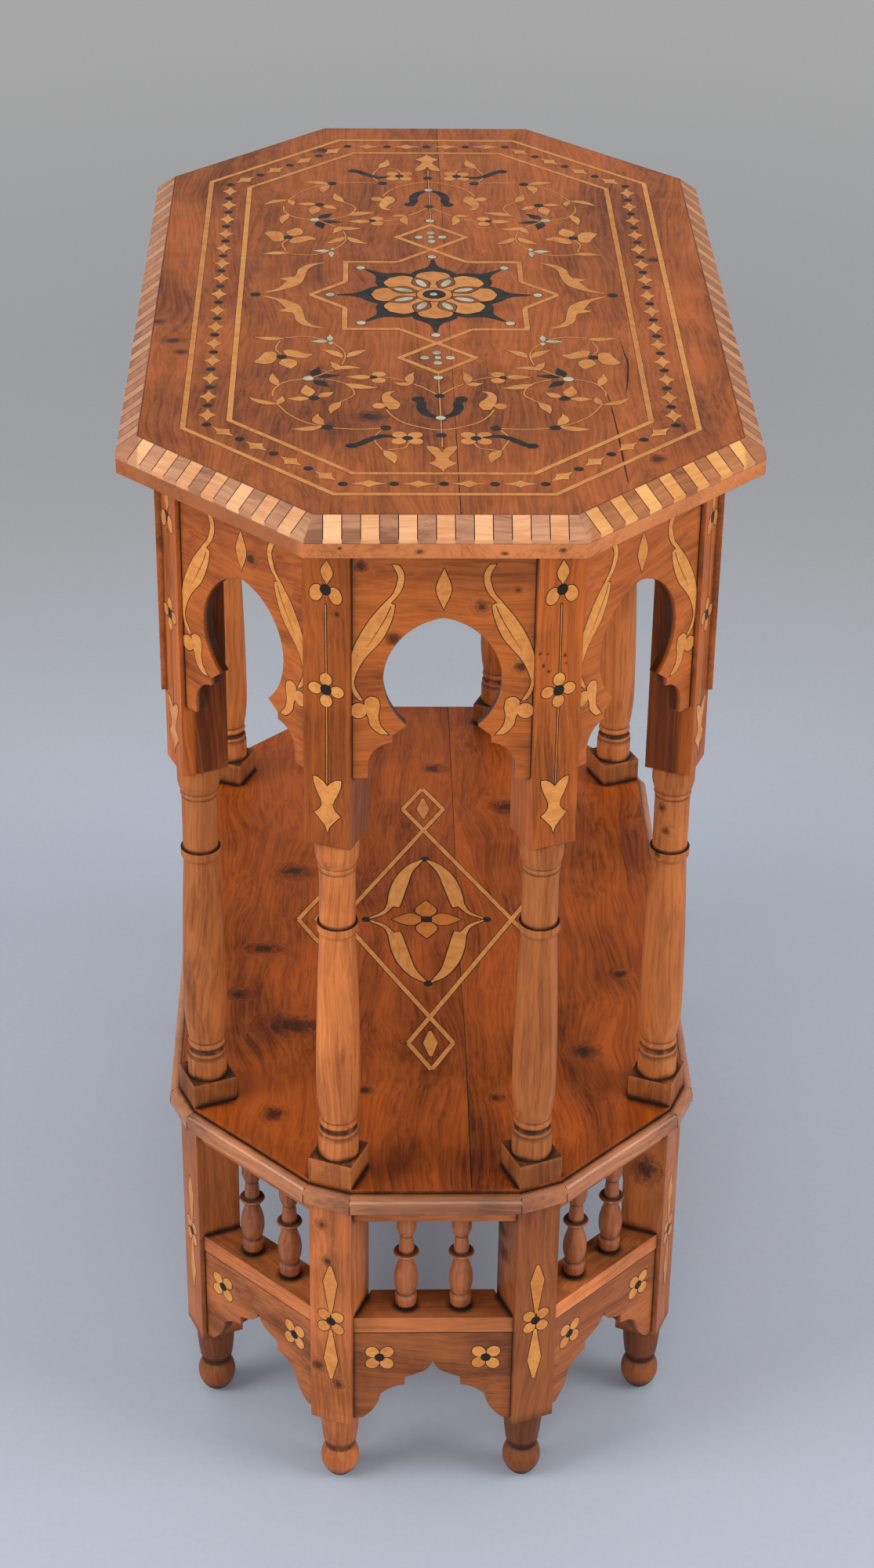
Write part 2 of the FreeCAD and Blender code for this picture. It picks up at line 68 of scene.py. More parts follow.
# Camera of the photograph
IMAGE_LONG_SIDE = 2000.0  # pixels
FOCAL_PIXELS = 3983.0
SENSOR = 36.0
CAMERA_PITCH = 0.5361  # radians
CAMERA_YAW = 0.0280
CAMERA_ROLL = 0.0138
CAMERA_DISTANCE = 2092.0
CAMERA_TARGET = (5.9, 0.0, 351.4)

# Inlay plates
PLATE_DEPTH = 0.3  # below the face
SEAM_RISE = 0.02
PLATE_RISE = 0.08
LAYER_RISE = 0.05  # a plate of a later layer lies over those before it
MASTIC_DROP = 0.02  # the dark line round a plate is that much lower
RISE_STEP = 0.0004  # plates of one layer differ by a hair, so that none coincide
RISE_COUNT = 40
MASTIC_WIDTH = 0.45  # dark line round each plate
TOP_MASTIC = 0.2  # and on the top, which is fitted more closely
STEM_MASTIC = 0.15
WIDE_MASTIC = 0.8
JITTER = 0.3  # cut and laid by hand

# Colours, as the photograph shows them (sRGB, 0 to 255): the light and the dark of each wood
TOP_WOOD = ((182, 96, 40), (100, 49, 22))
# Paler fascia wood, also the rubbed wear and painted highlight on outer edges
FASCIA_WOOD_AND_EDGE_HIGHLIGHT = (200, 122, 72)
LEFT_FASCIA_WOOD = (160, 94, 56)
SHELF_WOOD = ((178, 86, 26), (92, 38, 12))
PANEL_WOOD = ((196, 104, 40), (130, 60, 20))
APRON_WOOD = ((176, 100, 52), (118, 62, 30))
BLOCK_WOOD = ((186, 98, 40), (122, 58, 22))
SHAFT_WOOD = ((208, 124, 66), (142, 74, 36))
RAIL_WOOD = ((206, 120, 66), (150, 82, 42))
# Stain and painted shade on the inner faces of the head blocks
HIDDEN_STAIN_AND_SHADE = (84, 38, 18)
POST_WOOD = ((188, 106, 56), (126, 66, 32))
BALUSTER_WOOD = ((166, 94, 52), (98, 52, 28))
MOULDING_WOOD = ((190, 118, 72), (132, 76, 44))
LIGHT_STRIPE = ((240, 184, 134), (206, 138, 90))
DARK_STRIPE = ((198, 143, 108), (134, 88, 62))
RIGHT_LIGHT_STRIPE = ((244, 180, 104), (212, 138, 68))
RIGHT_DARK_STRIPE = ((186, 112, 62), (128, 70, 38))
SIDE_STRIPE = (158, 98, 70)
BOXWOOD = ((220, 148, 74), (186, 112, 50))
PEARWOOD = ((204, 118, 38), (166, 90, 26))
WALNUT = ((150, 80, 36), (112, 56, 24))
BONE = ((206, 198, 170), (150, 140, 106))
EBONY = ((30, 24, 20), (15, 12, 10))
MASTIC = ((44, 24, 15), (26, 15, 10))
# Black dirt, and painted shade in corners and grooves
GRIME_AND_SHADE = (20, 14, 11)
# Knots and stains, and painted shade on the inner faces of panels and aprons
KNOT_STAIN_AND_SHADE = (44, 22, 12)
FLOOR_NEAR = (184, 191, 203)
# Farther floor painted paler, as painted light making up for the lamps' falloff
FLOOR_FADES_AND_PAINTED_LIGHT = (  # start and end in metres from the middle, and the colour there
    (0.4, 1.3, (170, 171, 174)), (1.3, 3.4, (208, 207, 205)), (3.4, 9.0, (250, 250, 252)),
)

# How much lighter or darker than its wood a piece is that the photograph shows well
TONES = {
    # The back right column is darker as painted shade: it stands in the shade of the top.
    "column_front_left": 1.1, "column_front_right": 0.72, "column_back_right": 0.76,
    "column_left_front": 0.78, "column_right_front": 0.88,
    "post_front_left": 1.22, "post_front_right": 0.66, "post_left_front": 0.92, "post_right_front": 0.95,
    "arch_panel_front": 0.86, "arch_panel_front_left_diagonal": 0.9, "arch_panel_front_right_diagonal": 0.92,
    "rail_front": 0.95, "rail_front_left_diagonal": 1.15, "rail_front_right_diagonal": 1.35,
    "apron_front": 0.8, "apron_front_left_diagonal": 1.1, "apron_front_right_diagonal": 1.1,
    "top_board_left": 0.96, "top_board_right": 1.04, "shelf_board_left": 1.0, "shelf_board_right": 1.05,
}
END_TONES = {  # of head blocks and feet
    "column_front_left": 0.8, "column_front_right": 1.12,
    "column_left_front": 1.2, "column_right_front": 1.1,
    "post_front_left": 1.2, "post_front_right": 0.3, "post_left_front": 0.4, "post_right_front": 0.42,
}
TONE_SPREAD = 0.1  # of the pieces that it doesn't show


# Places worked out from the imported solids


def node_box(name):
    """Lowest and highest corner of a solid, in millimetres."""
    return [Vector(corner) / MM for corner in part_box(name)]


TOP_LOW, TOP_HIGH = node_box("top_board_left")
SHELF_HIGH = node_box("shelf_board_left")[1]
PANEL_LOW = node_box("arch_panel_front")[0]
APRON_LOW, APRON_HIGH = node_box("apron_front")
RAIL_LOW = node_box("rail_front")[0]
POST_LOW, POST_HIGH = node_box("post_front_left")
HALF_WIDTH = cad_box[1].x / MM
HALF_LENGTH = cad_box[1].y / MM
SHORT_SIDE = 2 * HALF_WIDTH / (1 + math.sqrt(2))
TOP_HEIGHT = TOP_HIGH.z
TOP_SEAM = TOP_HIGH.x
UNDER_TOP = TOP_LOW.z
SHELF_HEIGHT = SHELF_HIGH.z
SHELF_SEAM = SHELF_HIGH.x
SHELF_END = SHELF_HIGH.y
BLOCK_LENGTH = 195.0  # square head of a column
BLOCK_BOTTOM = UNDER_TOP - BLOCK_LENGTH
POST_SIZE = (POST_HIGH.x - POST_LOW.x) / (math.cos(SIXTEENTH) + math.sin(SIXTEENTH))
POST_Y = (POST_LOW.y + POST_HIGH.y) / 2
COLUMN_INSET = HALF_LENGTH + POST_Y
PANEL_BOTTOM = PANEL_LOW.z
PANEL_FACE = POST_Y - PANEL_LOW.y  # out from the line of column axes
SIDE_PANEL_FACE = COLUMN_INSET - HALF_WIDTH - node_box("arch_panel_left")[0].x
APRON_FACE = POST_Y - APRON_LOW.y
LONG_BAYS = (2, 6)


def octagon(inset):
    """Plan corners of the top, moved in by inset, counter-clockwise from the front left."""
    shift = inset * math.tan(SIXTEENTH)
    half_width = HALF_WIDTH - inset
    half_length = HALF_LENGTH - inset
    half_end = SHORT_SIDE / 2 - shift
    half_side = HALF_LENGTH - SHORT_SIDE * DIAGONAL - shift
    right = [(half_end, -half_length), (half_width, -half_side),
             (half_width, half_side), (half_end, half_length)]
    left = [(-x, -y) for x, y in right]
    return left[3:] + right + left[:3]


RING = octagon(COLUMN_INSET)


def column_axis(k):
    """Foot of the axis of column k, counted round from the front left."""
    return Vector((*RING[k % SIDES], 0))


# Faces that hold inlay


class Face:
    """A flat face: origin, direction of u, direction of v."""

    def __init__(self, origin, across, along):
        self.origin = Vector(origin)
        self.across = Vector(across).normalized()
        self.along = Vector(along).normalized()
        self.out = self.across.cross(self.along)

    def point(self, u, v, rise):
        return (self.origin + self.across * u + self.along * v + self.out * rise) * MM


def level_face(height):
    return Face((0, 0, height), (1, 0, 0), (0, 1, 0))


def outward(turns):
    """Direction out of the table for a number of octagon turns from the front."""
    return Vector((math.sin(turns * EIGHTH), -math.cos(turns * EIGHTH), 0))


def sideways(turns):
    return Vector((math.cos(turns * EIGHTH), math.sin(turns * EIGHTH), 0))


def bay_face(k, out):
    """Upright face of bay k, out from the column axes, u from its middle, v from the floor."""
    return Face((column_axis(k) + column_axis(k + 1)) / 2 + outward(k) * out, sideways(k), UP)


def post_face(k):
    """Outer face of post or column k, u from its axis, v from the floor."""
    return Face(column_axis(k) + outward(k - 0.5) * POST_SIZE / 2, sideways(k - 0.5), UP)


def clear_half(k, out):
    """Half the clear width of bay k at a face."""
    corner_back = POST_SIZE / 2 * (math.cos(SIXTEENTH) - math.sin(SIXTEENTH))
    corner_out = POST_SIZE / 2 * (math.cos(SIXTEENTH) + math.sin(SIXTEENTH))
    half = (column_axis(k + 1) - column_axis(k)).length / 2
    return half - corner_back - (corner_out - out) * math.tan(SIXTEENTH)


# Outlines

SPLINE_STEPS = 6
LEAST_WIDTH = 0.02
CLOSE = 0.03  # points nearer than that fall together
SHARPEST = 0.55  # limits how far a sharp corner is moved out
BLUNT_SHARE = 0.18  # of a blade's half width, at its ends
HOLLOW_SHARE = 0.24  # how far a star's sides are drawn in
PETAL_STRETCH = 1.1
LEAF_SHARES = (  # of its length, and of its width there
    (0.0, 0.1), (0.2, 0.75), (0.42, 1.0), (0.66, 0.66), (0.85, 0.26), (1.0, 0.0),
)
# Right half of a tulip, in shares of its width and length
TULIP = (((0.13, -0.075), (0.31, -0.014), (0.5, 0.0)),
         ((0.475, -0.115), (0.36, -0.27), (0.23, -0.41), (0.21, -0.515)),
         ((0.3, -0.585), (0.47, -0.655)),
         ((0.31, -0.74), (0.13, -0.845), (0.065, -0.89), (0.0, -1.0)))


def spline(points):
    """Smooth line through a few points."""
    if len(points) < 3:
        return list(points)
    ends = [Vector(p) for p in points]
    ends = [2 * ends[0] - ends[1]] + ends + [2 * ends[-1] - ends[-2]]
    line = []
    for a, b, c, d in zip(ends, ends[1:], ends[2:], ends[3:]):
        for i in range(SPLINE_STEPS):
            t = i / SPLINE_STEPS
            line.append(0.5 * (2 * b + (c - a) * t + (2 * a - 5 * b + 4 * c - d) * t ** 2
                               + (3 * b - a - 3 * c + d) * t ** 3))
    return [tuple(p) for p in line] + [tuple(points[-1])]


def strokes(*lines):
    """Closed outline of smooth strokes, each from the corner where the one before it ends."""
    outline = []
    corner = lines[-1][-1]
    for line in lines:
        outline += spline([corner, *line])[:-1]
        corner = line[-1]
    return outline


def two_sided(line):
    """Closed outline of a line below the u axis and its mirror image above it."""
    other = [(u, -v) for u, v in line[::-1]]
    return strokes(line[1:], other[:1], other[1:], line[:1])


def ribbon(*spots):
    """Band along a smooth line through spots, each with u, v and the width there."""
    line = spline(spots)
    left = []
    right = []
    for i, (u, v, width) in enumerate(line):
        before = line[max(i - 1, 0)]
        after = line[min(i + 1, len(line) - 1)]
        aside = Vector((before[1] - after[1], after[0] - before[0])).normalized()
        aside *= max(width, LEAST_WIDTH) / 2
        left.append((u + aside.x, v + aside.y))
        right.append((u - aside.x, v - aside.y))
    return left + right[::-1]


def stem(*points, width=1.0):
    return ribbon(*[(*p, width) for p in points])


def strip(start, end, width):
    """Straight string of wood."""
    return stem(start, end, width=width)


def placed(outline, centre=(0, 0), turn=0.0):
    """The outline turned about the origin, then moved."""
    spin = Matrix.Rotation(turn, 2)
    return [tuple(spin @ Vector(p) + Vector(centre)) for p in outline]


def oval(centre, half_u, half_v=None, turn=0.0, count=20):
    angles = [2 * math.pi * i / count for i in range(count)]
    outline = [(half_u * math.cos(a), (half_v or half_u) * math.sin(a)) for a in angles]
    return placed(outline, centre, turn)


def leaf_oval(centre, half_u, half_v, turn):
    """Oval with pointed ends."""
    return placed(two_sided(((-half_u, 0), (0, -half_v), (half_u, 0))), centre, turn)


def leaf(base, tip, width, bend=0.0):
    """Pointed leaf, its spine bent to the left of the way from base to tip."""
    base = Vector(base)
    way = Vector(tip) - base
    aside = Vector((-way.y, way.x)).normalized()
    spots = []
    for t, share in LEAF_SHARES:
        middle = base + way * t + aside * bend * 4 * t * (1 - t)
        spots.append((*middle, width * share))
    return ribbon(*spots)


def leaves(shapes):
    return [leaf(*shape) for shape in shapes]


def kite(low, high, widest, half):
    """Four-cornered blade on the middle line, with blunt ends."""
    blunt = half * BLUNT_SHARE
    return [(-blunt, low), (blunt, low), (half, widest), (blunt, high), (-blunt, high), (-half, widest)]


def chain_star(middle, along, length, half):
    """Star with hollow sides, longer along the chain."""
    aside = Vector((-along.y, along.x))
    corners = [middle + along * length, middle + aside * half]
    corners += [2 * middle - corner for corner in corners]
    lines = []
    for here, there in zip(corners, corners[1:] + corners[:1]):
        lines.append([((here + there) / 2).lerp(middle, HOLLOW_SHARE), there])
    return strokes(*lines)


def tulip(ears, point, width, notch=0.15):
    """Tulip on the middle line: two ears, a waist, a flare and a point."""
    def at(p, side):
        return (side * p[0] * width, ears - p[1] * (point - ears))
    right = []
    left = []
    corner = (0.0, -notch)
    for line in TULIP:
        right.append([at(p, 1) for p in line])
        left.insert(0, [at(p, -1) for p in (*line[-2::-1], corner)])
        corner = line[-1]
    return strokes(*right, *left)


def flipped(outline, side_u, side_v):
    """The outline mirrored sideways, endways or both."""
    return [(side_u * u, side_v * v) for u, v in outline]


def area_of(outline):
    return sum(a[0] * b[1] - b[0] * a[1] for a, b in zip(outline, outline[1:] + outline[:1])) / 2


def tidy_outline(outline):
    """Counter-clockwise, without points that fall together."""
    clean = []
    for p in outline:
        if not clean or math.dist(p, clean[-1]) > CLOSE:
            clean.append(p)
    if math.dist(clean[0], clean[-1]) < CLOSE:
        clean.pop()
    return clean if area_of(clean) > 0 else clean[::-1]


def grown(outline, by):
    """The outline moved out by a small distance."""
    moved = []
    for i, p in enumerate(outline):
        here = Vector(p)
        before = (here - Vector(outline[i - 1])).normalized()
        after = (Vector(outline[(i + 1) % len(outline)]) - here).normalized()
        out = Vector((before.y + after.y, -before.x - after.x))
        if out.length < 1e-6:
            out = Vector((before.y, -before.x))
        out.normalize()
        lean = max(out.dot(Vector((after.y, -after.x))), SHARPEST)
        moved.append(tuple(here + out * by / lean))
    return moved


class Inlay:
    """Plates let into one or more faces, gathered by material into one piece each."""

    def __init__(self, name, face=None):
        self.name = name
        self.face = face
        self.chance = random.Random(SEED + len(name))
        self.meshes = {}
        self.count = 0

    def plate(self, kind, outline, rise):
        """Closed thin prism on the current face."""
        if kind not in self.meshes:
            self.meshes[kind] = bmesh.new()
        mesh = self.meshes[kind]
        self.count += 1
        height = rise + RISE_STEP * (self.count % RISE_COUNT)
        upper = [mesh.verts.new(self.face.point(u, v, height)) for u, v in outline]
        lower = [mesh.verts.new(self.face.point(u, v, -PLATE_DEPTH)) for u, v in outline]
        mesh.faces.new(upper)
        mesh.faces.new(lower[::-1])
        for i in range(len(outline)):
            j = (i + 1) % len(outline)
            mesh.faces.new((upper[j], upper[i], lower[i], lower[j]))

    def add(self, kind, outline, mastic=MASTIC_WIDTH, layer=0):
        """One plate and the dark line round it."""
        shift_u, shift_v = [self.chance.uniform(-JITTER, JITTER) for _ in range(2)]
        outline = tidy_outline([(u + shift_u, v + shift_v) for u, v in outline])
        rise = PLATE_RISE + LAYER_RISE * layer
        self.plate(kind, outline, rise)
        if mastic:
            self.plate("mastic", tidy_outline(grown(outline, mastic)), rise - MASTIC_DROP)

    def seam(self, outline, rise=SEAM_RISE):
        """Dark open joints and cracks, and painted shadow lines."""
        self.plate("mastic", tidy_outline(outline), rise)

    def finish(self, looks):
        for kind, mesh in self.meshes.items():
            data = bpy.data.meshes.new(self.name + "_" + kind)
            mesh.to_mesh(data)
            mesh.free()
            piece = bpy.data.objects.new(data.name, data)
            bpy.context.collection.objects.link(piece)
            data.materials.append(looks[kind])
            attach(piece, "root")


def flower(inlay, centre, reach, radius, dot, turn=0.0):
    """Four round petals about a black dot."""
    for i in range(4):
        a = turn + i * math.pi / 2
        at = (centre[0] + reach * math.cos(a), centre[1] + reach * math.sin(a))
        inlay.add("light", oval(at, radius * PETAL_STRETCH, radius, a))
    inlay.add("dark", oval(centre, dot), 0, 1)


# Inlay of the top: plates of one quarter of the field, mirrored into the others

QUARTER_STEMS = (
    ((90, 68), (76.7, 66.6), (66.7, 70.8)),
    ((61.7, 75.8), (55.8, 86.7), (54.2, 96.7), (56, 109)),
    ((60.8, 115.8), (68.3, 123.3), (73.3, 127.5)),
    ((91.3, 94), (95, 85), (92.5, 73.3)),
    ((77.5, 128.7), (89.2, 134.2), (95, 145), (95.5, 154)),
    ((65, 129.7), (55, 135), (49.2, 145), (49.2, 153.3), (56.7, 162.5)),
    ((92.5, 165), (85, 180), (75, 190.8), (66.7, 195)),
    ((60, 197.6), (46.7, 199.2), (33.3, 198)),
    ((1.6, 151), (8.3, 142.5), (14.2, 136.7)),
    ((20, 131.5), (27, 127.5), (32, 126.7)),
    ((30.3, 172.5), (26.7, 181.7), (20, 190.8), (8.3, 197.8), (0.5, 200.5)),
    ((33.6, 200.6), (37.5, 211.7), (33, 227)),
    ((18, 217.5), (20.8, 224.2), (30, 227)),
)
QUARTER_LEAVES = (  # base, tip, width, bend
    ((90, 69), (108.3, 67), 5.4, 1.2),
    ((55.3, 98.3), (68.7, 86), 5.8, -1.8),
    ((53, 97.5), (40, 86), 5.8, 1.8),
    ((59, 116.4), (63.6, 104), 5.2, -1.2),
    ((59.8, 116.2), (43.8, 114.2), 5.4, 2.6),
    ((91.6, 139), (95.6, 120.2), 5.6, 1.5),
    ((53.9, 136.2), (34.5, 141.7), 6.6, -1.6),
    ((56.3, 162), (62, 178.5), 6.2, -1.4),
    ((92.4, 165), (109.2, 154.7), 5.0, 2.4),
    ((92.4, 165), (89.8, 153.6), 4.8, -1.2),
    ((65.6, 193.6), (68.8, 177.5), 6.4, 2.4),
    ((66.4, 195.4), (84.4, 198.9), 6.2, 1.8),
    ((15.6, 136), (13.6, 118.4), 5.6, 2.2),
    ((15.6, 136), (25.8, 134.2), 5.0, 1.4),
    ((32.6, 227.4), (26.7, 244.9), 6.8, 1.6),
    ((38.6, 126.4), (54, 126.2), 6.4),
)
SIDE_BLADE = ((105, 2.6, 0.8), (94.5, 9, 4.2), (87, 19.2, 9.4), (82.6, 31, 6.2),
              (81, 41.6, 5.8), (75.4, 49.6, 3.8), (66.4, 53.8, 0))
SIDE_LOBE = ((83.6, 27.4), (95.6, 26.4), 6.6, -1.6)
LARGE_PETALS = (
    (((90.4, 88.8), (86.4, 86.7), (81.4, 89.3), (77.1, 92.6), (73.1, 93.1)),
     ((74.6, 96.4), (78.6, 99.3), (83.6, 97.9), (88.5, 95.5))),
    (((94.6, 92.1), (97.6, 89.3), (101.6, 91.2), (103.4, 96.4), (107.4, 105)),
     ((102.9, 107.9), (97, 106.6), (94.3, 101.4), (94.3, 97.4))),
    (((92.9, 105.7), (90.7, 110), (85.7, 114.6)),
     ((82.6, 109.3), (82.6, 103.6), (86.4, 100), (90.7, 100.4))),
)
SMALL_PETALS = (
    ((74, 154.4), (76.8, 137.8), 8.2), ((74.4, 157.4), (87.4, 157.6), 5.8), ((69.2, 155), (60, 147.8), 6.4),
)
FLOWER_DOTS = (((91.3, 97.2), 2.9), ((71.7, 156.7), 3.0), ((63.8, 196.7), 3.0), ((30.7, 197.5), 3.0))
PAIR = (((34.4, 122.4), 4.2, 3.9), ((34.4, 131), 4.2, 3.9))
PAIR_DOT = ((37.4, 126.9), 2.3)
ROUND_FLOWER = (19.2, 211.3)
ROUND_REACH = (4.5, 4.2)
ROUND_PETAL = (4.4, 4.0)
ROUND_DOT = 3.0
BUD_BALL = ((34.4, 167.6), 3.7, 3.9)
BUD = ((26.5, 172.4, 4.6), (26.8, 165.6, 9.0), (29.4, 158.5, 6.8), (30.3, 153, 4.6), (28.5, 149, 3.0),
       (24.6, 146.8, 0.2))
BLACK_LEAVES = (
    ((72.6, 125.4), (69.6, 112), 6.0), ((70.6, 126), (57, 124.2), 5.0), ((72, 131.4), (63, 140.8), 6.0),
)
HORN = ((0.6, 183.6, 1.5), (7.4, 178.6, 4.4), (10.4, 170, 5.2), (10, 163.6, 4.8), (12, 158.4, 4.4))
HORN_TIP = ((12.6, 157.6), 3.5)
HOOK = ((23, 210.4, 1.6), (33.3, 208.7, 3.8), (40.8, 214.2, 4.4), (47, 220.6, 4))
HOOK_TIP = ((49.8, 221.2), 3.4, 3.0)
BONE_LEAVES = (
    ((63.2, 73), (63.3, 62.6), 3.8), ((64.4, 73.2), (75.6, 73.8), 4.6), ((62.8, 74.2), (62.6, 79.4), 3.0),
)
BONE_BUD = ((75, 128.8), 3.1)


def plates(kind, *outlines, mastic=TOP_MASTIC):
    """Plates of one material: material, outline, width of the dark line, layer."""
    return [(kind, outline, mastic, 0) for outline in outlines]


def dots(*places):
    """Black dots over the plates round them, with no line of their own."""
    return [("dark", oval(centre, radius), 0, 1) for centre, radius in places]


def quarter_flowers():
    """Flowers of one quarter: each has a black dot and its own petals."""
    round_petals = []
    for su, sv in QUARTERS:
        centre = (ROUND_FLOWER[0] + su * ROUND_REACH[0], ROUND_FLOWER[1] + sv * ROUND_REACH[1])
        round_petals.append(oval(centre, *ROUND_PETAL, su * sv * EIGHTH))
    return (plates("light", *[strokes(*lines) for lines in LARGE_PETALS], *leaves(SMALL_PETALS))
            + dots(*FLOWER_DOTS)
            + plates("light", *[oval(*petal) for petal in PAIR])
            + dots(PAIR_DOT)
            + plates("light", *round_petals)
            + dots((ROUND_FLOWER, ROUND_DOT))
            + plates("light", oval(*BUD_BALL), ribbon(*BUD)))


def quarter_black():
    """Black leaves, horns and hooks of one quarter, and its bone."""
    black = [ribbon(*HORN), oval(*HORN_TIP), ribbon(*HOOK), oval(*HOOK_TIP)]
    bone = [*leaves(BONE_LEAVES), oval(*BONE_BUD)]
    return plates("dark", *leaves(BLACK_LEAVES), *black) + plates("bone", *bone)


def quarter_plates():
    """All plates of one quarter of the field."""
    return (plates("light", *[stem(*points) for points in QUARTER_STEMS], mastic=STEM_MASTIC)
            + plates("light", *leaves(QUARTER_LEAVES), ribbon(*SIDE_BLADE), leaf(*SIDE_LOBE))
            + quarter_flowers() + quarter_black())


STAR_CORNER = 54.5  # corners of the square of the eight-pointed star
STAR_TIP = 76.0  # corners of its diamond
STRAP_WIDTH = 3.3
DIAMOND_HALF = 22.0
BONE_DOT = 2.8
MIDDLE_STEM = ((0, 119), (0, 223))
MIDDLE_TULIP = (221.6, 255.5, 16.8, 0.24)  # ears, point, width, notch
MIDDLE_STEM_WIDTH = 0.8
MIDDLE_STEM_MASTIC = 0.3
MIDDLE_DOT = 2.9
MIDDLE_DARK_DOTS = (153.3, 207.7)
MIDDLE_BONE_DOTS = (127.5, 184.2)
DIAMOND_DOTS = ((0, 0, 2.0), (7.4, 0, 2.7), (-7.4, 0, 2.7), (0, 7.6, 2.7), (0, -7.6, 2.7))  # u, v, radius
SIDE_DOT = (109.4, 3.2)


def middle_line(inlay, sv):
    """Stem on the middle line with a tulip, its dots, and the five dots of a small diamond."""
    ears, point, width, notch = MIDDLE_TULIP
    inlay.add("light", flipped(strip(*MIDDLE_STEM, MIDDLE_STEM_WIDTH), 1, sv), MIDDLE_STEM_MASTIC)
    inlay.add("light", tulip(sv * ears, sv * point, width, notch), TOP_MASTIC)
    for v in MIDDLE_DARK_DOTS:
        inlay.add("dark", oval((0, sv * v), MIDDLE_DOT), 0, 1)
    for v in MIDDLE_BONE_DOTS:
        inlay.add("bone", oval((0, sv * v), BONE_DOT), layer=1)
    for u, v, radius in DIAMOND_DOTS:
        inlay.add("bone", oval((u, sv * (STAR_TIP + DIAMOND_HALF + v)), radius), TOP_MASTIC)


def top_field(inlay):
    quarter = quarter_plates()
    for su, sv in QUARTERS:
        for kind, outline, mastic, layer in quarter:
            inlay.add(kind, flipped(outline, su, sv), mastic, layer)
    for sv in BOTH:
        middle_line(inlay, sv)
    place, radius = SIDE_DOT
    for su in BOTH:
        inlay.add("dark", oval((su * place, 0), radius), 0)


def star_strapwork(inlay):
    """Eight-pointed star of straight strings, its diamond crossing into a small diamond at each end."""
    cross = STAR_TIP - STAR_CORNER
    corner = STRAP_WIDTH / 2 * DIAGONAL  # half a width on, along a slanting string
    far = STAR_TIP + DIAMOND_HALF
    runs = (((cross, STAR_CORNER), (STAR_CORNER + STRAP_WIDTH / 2, STAR_CORNER)),
            ((STAR_CORNER, STAR_CORNER - STRAP_WIDTH / 2), (STAR_CORNER, cross)),
            ((STAR_CORNER, cross), (STAR_TIP, 0)),
            ((cross, STAR_CORNER), (0, STAR_TIP)),
            ((0, STAR_TIP), (DIAMOND_HALF + corner, far + corner)),
            ((DIAMOND_HALF, far), (-corner, far + DIAMOND_HALF + corner)))
    for su, sv in QUARTERS:
        for start, end in runs:
            inlay.add("light", flipped(strip(start, end, STRAP_WIDTH), su, sv), TOP_MASTIC)


ROSETTE_LINE = 0.6
BLACK_LEAF = ((24, -17), (38, -12.5), (47, -3.6), (59.5, -0.8))
ROSETTE_PETAL = ((8, -2.5), (17, -7), (27, -10.6), (35, -8.6), (38.6, 0))
ROSETTE_TIP_DOT = 63.5
ROSETTE_GROUND = 34.0
GROUND_OVAL = (20.4, 10.4, 5.4)  # out from the middle, half length, half width
BONE_OVAL = (20.0, 6.2, 2.5)
BONE_OVAL_LINE = 0.25
ROSETTE_EYE = (("light", 10.8), ("dark", 6.6), ("bone", 2.3))  # from the outside in


def rosette(inlay):
    """Eight light petals with bone between them, on eight black leaves tipped with bone."""
    for i in range(8):
        turn = i * EIGHTH
        way = Vector((math.cos(turn), math.sin(turn)))
        inlay.add("dark", placed(two_sided(BLACK_LEAF), turn=turn), 0)
        inlay.add("bone", oval(way * ROSETTE_TIP_DOT, BONE_DOT))
        inlay.add("light", placed(two_sided(ROSETTE_PETAL), turn=turn), ROSETTE_LINE, 2)
    inlay.add("dark", oval((0, 0), ROSETTE_GROUND, count=32), 0, 1)
    out, *ground = GROUND_OVAL
    bone_out, *bone = BONE_OVAL
    for i in range(8):
        turn = (i + 0.5) * EIGHTH
        way = Vector((math.cos(turn), math.sin(turn)))
        inlay.add("ground", leaf_oval(way * out, *ground, turn), ROSETTE_LINE, 3)
        inlay.add("bone", oval(way * bone_out, *bone, turn), BONE_OVAL_LINE, 4)
    for layer, (kind, radius) in enumerate(ROSETTE_EYE, 5):
        inlay.add(kind, oval((0, 0), radius, count=28), ROSETTE_LINE, layer)


LINE_INSETS = (36.7, 62.5)
LINE_WIDTH = 3.2
CHAIN_INSET = 49.6
CHAIN_PITCH = 26.4
CHAIN_DOT = 2.7
STAR_LENGTH = 9.0
STAR_HALF = 5.2
SEAM_MARGIN = 12.0  # the seam shows as far as the stripes of the edge
RIGHT_CRACKS = (  # across, along, width
    ((109, -66, 0), (110.4, -93, 0.8), (111.2, -107, 0.9), (108.4, -138, 0.7), (106.6, -151, 0.2)),
    ((93, -128, 0), (96.5, -155, 0.5), (98.3, -200, 0.8), (98.8, -232, 1.0), (99.4, -268, 0.6)),
)


def top_border(inlay):
    """Two lines of stringing with a chain of stars and dots between them, slimmer at the ends."""
    for inset in LINE_INSETS:
        outer = octagon(inset - LINE_WIDTH / 2)
        inner = octagon(inset + LINE_WIDTH / 2)
        for k in range(SIDES):
            j = (k + 1) % SIDES
            inlay.add("light", [outer[k], outer[j], inner[j], inner[k]], TOP_MASTIC)
    corners = [Vector(p) for p in octagon(CHAIN_INSET)]
    for k in range(SIDES):
        start = corners[k]
        way = corners[(k + 1) % SIDES] - start
        count = round(way.length / CHAIN_PITCH)
        end_row = k in (0, 4)
        for i in range(count):
            inlay.add("dark", oval(start + way * i / count, CHAIN_DOT), 0)
            star = chain_star(start + way * (i + 0.5) / count, way.normalized(),
                              STAR_LENGTH + end_row, STAR_HALF - 0.5 * end_row)
            inlay.add("light", star, TOP_MASTIC)


